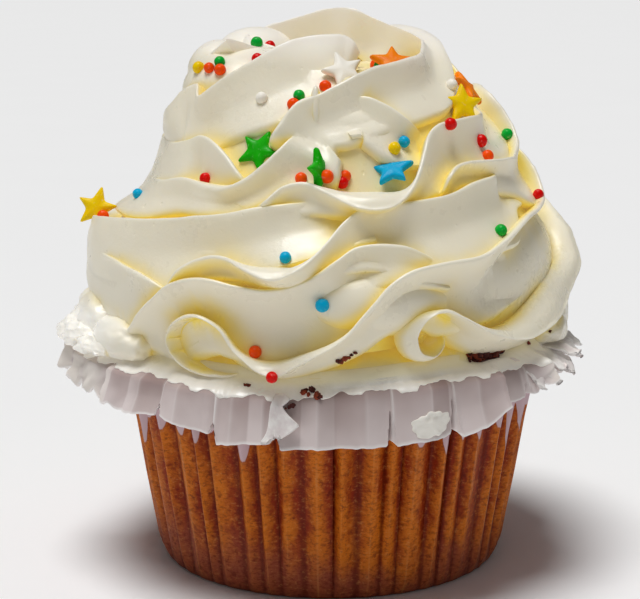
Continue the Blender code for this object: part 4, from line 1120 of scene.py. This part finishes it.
# colour and where: across and up, on a plane before the front
BALLS = {
    RED: (
        (-16.4, 64.3), (-7.5, 36.7), (1.3, 62.8), (20.0, 70.7), (29.1, 64.4), (-10.0, 82.2), (-8.6, 86.2),
        (15.4, 71.7),
    ),
    ORANGE: (
        (-9.7, 40.2), (-3.9, 63.2), (-0.5, 63.4), (1.7, 63.7), (-0.8, 76.7), (-4.9, 73.9), (20.9, 68.4),
        (-16.4, 81.1), (-14.9, 80.6), (6.1, 81.3),
    ),
    BLUE: ((-5.8, 52.1), (-1.1, 46.0), (9.3, 68.9), (-26.5, 64.1)),
    GREEN: ((-4.2, 75.3), (25.0, 73.7), (22.1, 57.1), (-15.0, 81.9), (-10.2, 85.8), (6.5, 80.8)),
    YELLOW: ((-17.9, 81.5), (8.0, 67.6)),
    WHITE: ((-9.1, 75.3), (16.2, 78.5)),
}
# in the order of the names above
SUGAR = (
    colour(226, 10, 4), colour(255, 84, 6), colour(0, 176, 222), colour(2, 176, 56), colour(250, 212, 0),
    colour(253, 248, 236), colour(255, 140, 0), colour(22, 178, 4),
)
BACK_BALLS, BACK_STARS = 9, 2  # how many lie behind
bead_points, bead_faces = pebble(4)
draw = random.Random(31)


def bead(found, tint):
    spot, normal = found
    centre = spot + 0.3 * BALL_R * normal
    paper = float(rim(math.degrees(math.atan2(spot[0], -spot[1]))))
    centre[2] = max(centre[2], paper + CLEARANCE + 1.2 * BALL_R)
    size = BALL_R * draw.uniform(0.92, 1.06) * np.array([draw.uniform(0.96, 1.04) for _ in range(3)])
    shift = draw.uniform(0, 50)
    dents = uneven(bead_points * 1.3 + shift)
    return bead_points * size * (1 + 0.035 * dents[:, None]) + centre, bead_faces, tint + 0.5


beads = [bead(landing(0, *row), tint) for tint, rows in BALLS.items() for row in rows]
beads.append(bead((np.array((-31.9, -5.2, 49.6)), np.array((0, -1.0, 0))), ORANGE))  # stuck to the left star
back = random.Random(21)
behind = []
while len(behind) < BACK_BALLS + BACK_STARS:
    found = landing(back.uniform(100, 260), 0, back.uniform(45, 84))
    if found:
        behind.append(found)
beads += [bead(found, draw.choice((RED, ORANGE, BLUE, GREEN, YELLOW))) for found in behind[:BACK_BALLS]]
back_stars = [
    (spot + 0.3 * normal, normal, back.uniform(0, 72), draw.choice((LEAF, YELLOW)))
    for spot, normal in behind[BACK_BALLS:]
]
balls = together("ball_sprinkles", beads)


def sugar_coat(obj, name, roughness):
    """glossy coloured sugar: even in colour from afar, with pale rubbed specks close to"""
    shader, paint = finish(obj, name, Specular_IOR_Level=0.14, Coat_Weight=0.04, Coat_Roughness=0.1)
    stops = [(i / len(SUGAR), shade) for i, shade in enumerate(SUGAR)]
    tint = paint.kept("tint") / len(SUGAR)
    shade = paint.node("ValToRGB", {"stops": stops}, {0: tint})
    shade.socket.node.color_ramp.interpolation = "CONSTANT"
    pale = paint.mix(paint.noise(0.5, 3).between(0.56, 0.78) * 0.16, shade, colour(255, 246, 236))
    dark = paint.noise(1.4, 2).between(0.6, 0.3) * 0.2
    feed(
        shader,
        Base_Color=paint.mix(dark, pale, shade, "MULTIPLY"),
        Roughness=paint.noise(0.8, 2) * 0.2 + roughness,
    )
    bump(shader, paint.noise(0.5, 3) * 0.6 + paint.noise(0.2, 2) * 0.4, 0.3, 0.06)


sugar_coat(balls, "bead_sugar", 0.22)
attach(balls, "root")
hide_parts("cream")

# ----------------------------------------------------------
# Star sprinkles: pressed sugar stars about a millimetre thick, with blunt tips and soft edges. They
# stand in the cream at the angles at which they fell.
STAR_R = 3.0
STAR_THICK = 1.05
# centre, the way the flat faces, the turn of the first tip from upright, and colour
STARS = (
    ((-9.5, -20.9, 60.3), (-0.30, -0.85, 0.43), 24, LEAF),
    ((-1.5, -25.9, 58.4), (0.87, -0.46, 0.15), -5, LEAF),
    ((-33.0, -3.6, 50.4), (-0.10, -0.95, 0.30), 12, YELLOW),
    ((7.8, -23.8, 58.2), (-0.2, -0.52, 0.83), -18, BLUE),
    ((17.7, -12.2, 65.6), (0.34, -0.86, 0.38), 4, YELLOW),
    ((19.0, -3.2, 67.2), (0.75, -0.20, 0.63), 20, AMBER),
    ((8.2, -12.2, 71.2), (0.10, -0.66, 0.75), 5, AMBER),
    ((1.6, -16.7, 70.4), (0.12, -0.76, 0.64), -16, WHITE),
)
NECK, TIP = 0.47, 1.03  # radius of the corners between the tips, and of the tips before they are blunted
odd, swing = np.arange(10) % 2, np.radians(36 * np.arange(10))
corner = np.where(odd, NECK, TIP)[:, None] * np.stack([np.cos(swing), np.sin(swing)], 1)
pairs, step = zip(corner, np.roll(corner, -1, 0)), np.linspace(0, 1, 9)[:-1, None]
star_line = np.concatenate([here + (there - here) * step for here, there in pairs])
for _ in range(2):  # blunts the tips
    star_line = 0.5 * star_line + 0.25 * (np.roll(star_line, 1, 0) + np.roll(star_line, -1, 0))
star_line /= np.linalg.norm(star_line, axis=1).max()
# height in the thickness, and how wide the star is there
STAR_LEVELS = (
    (-0.56, 0.4), (-0.47, 0.78), (-0.36, 0.94), (-0.2, 0.99), (0, 1.0), (0.2, 0.98), (0.36, 0.93),
    (0.48, 0.76), (0.58, 0.4),
)


def star(centre, facing, tip_turn, tint):
    facing = unit(np.array(facing))
    up = unit(np.array((0, 0, 1.0)) - facing[2] * facing)
    right = np.cross(up, facing)
    c, s = math.cos(math.radians(tip_turn)), math.sin(math.radians(tip_turn))
    line = star_line @ np.array([[c, s], [-s, c]]) * STAR_R * draw.uniform(0.96, 1.04)
    line = line * (1 + 0.03 * np.sin(3 * np.arctan2(line[:, 1], line[:, 0]) + draw.uniform(0, 6)))[:, None]
    flat = np.outer(line[:, 0], up) + np.outer(line[:, 1], right)
    rings = [centre + wide * flat + level * STAR_THICK * facing for level, wide in STAR_LEVELS]
    return *woven(rings), tint + 0.5


stars = together("star_sprinkles", [star(*row) for row in STARS + tuple(back_stars)])
sugar_coat(stars, "star_sugar", 0.34)
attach(stars, "root")
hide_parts("cream")

# ----------------------------------------------------------
# Set: a plain pale floor under one wide, soft light from above, with weak even light all round. The
# camera stands at the photograph's height and angle.
bpy.ops.mesh.primitive_plane_add(size=40)
floor = bpy.context.object
floor.name = "floor"
shader, paint = finish(floor, "pale_floor", Roughness=0.9)
feed(shader, Base_Color=paint.mix(paint.noise(60, 2), colour(250, 250, 250), colour(252, 252, 252)))

sun = bpy.data.lights.new("soft_light", "SUN")
sun.energy = 2.45
sun.angle = math.radians(28)
lamp = placed("soft_light", sun)
lamp.rotation_mode = "QUATERNION"
lamp.rotation_quaternion = Vector((0.14, 0.12, -1.0)).to_track_quat("-Z", "Y")

world = bpy.data.worlds.new("studio")
bpy.context.scene.world = world
world.use_nodes = True
world.node_tree.nodes["Background"].inputs["Color"].default_value = (1.0, 1.0, 1.0, 1)
world.node_tree.nodes["Background"].inputs["Strength"].default_value = 0.12

CAMERA_AT, TILT_DOWN = (-0.0015, -0.246, 0.085), 11.15  # in metres and degrees
lens = bpy.data.cameras.new("camera")
lens.sensor_width = 36
lens.lens = 97.5
lens.clip_start = 0.01
camera = placed("camera", lens)
camera.location = CAMERA_AT
camera.rotation_euler = (math.radians(90 - TILT_DOWN), 0, 0)
bpy.context.scene.camera = camera
bpy.context.scene.view_settings.view_transform = "Standard"
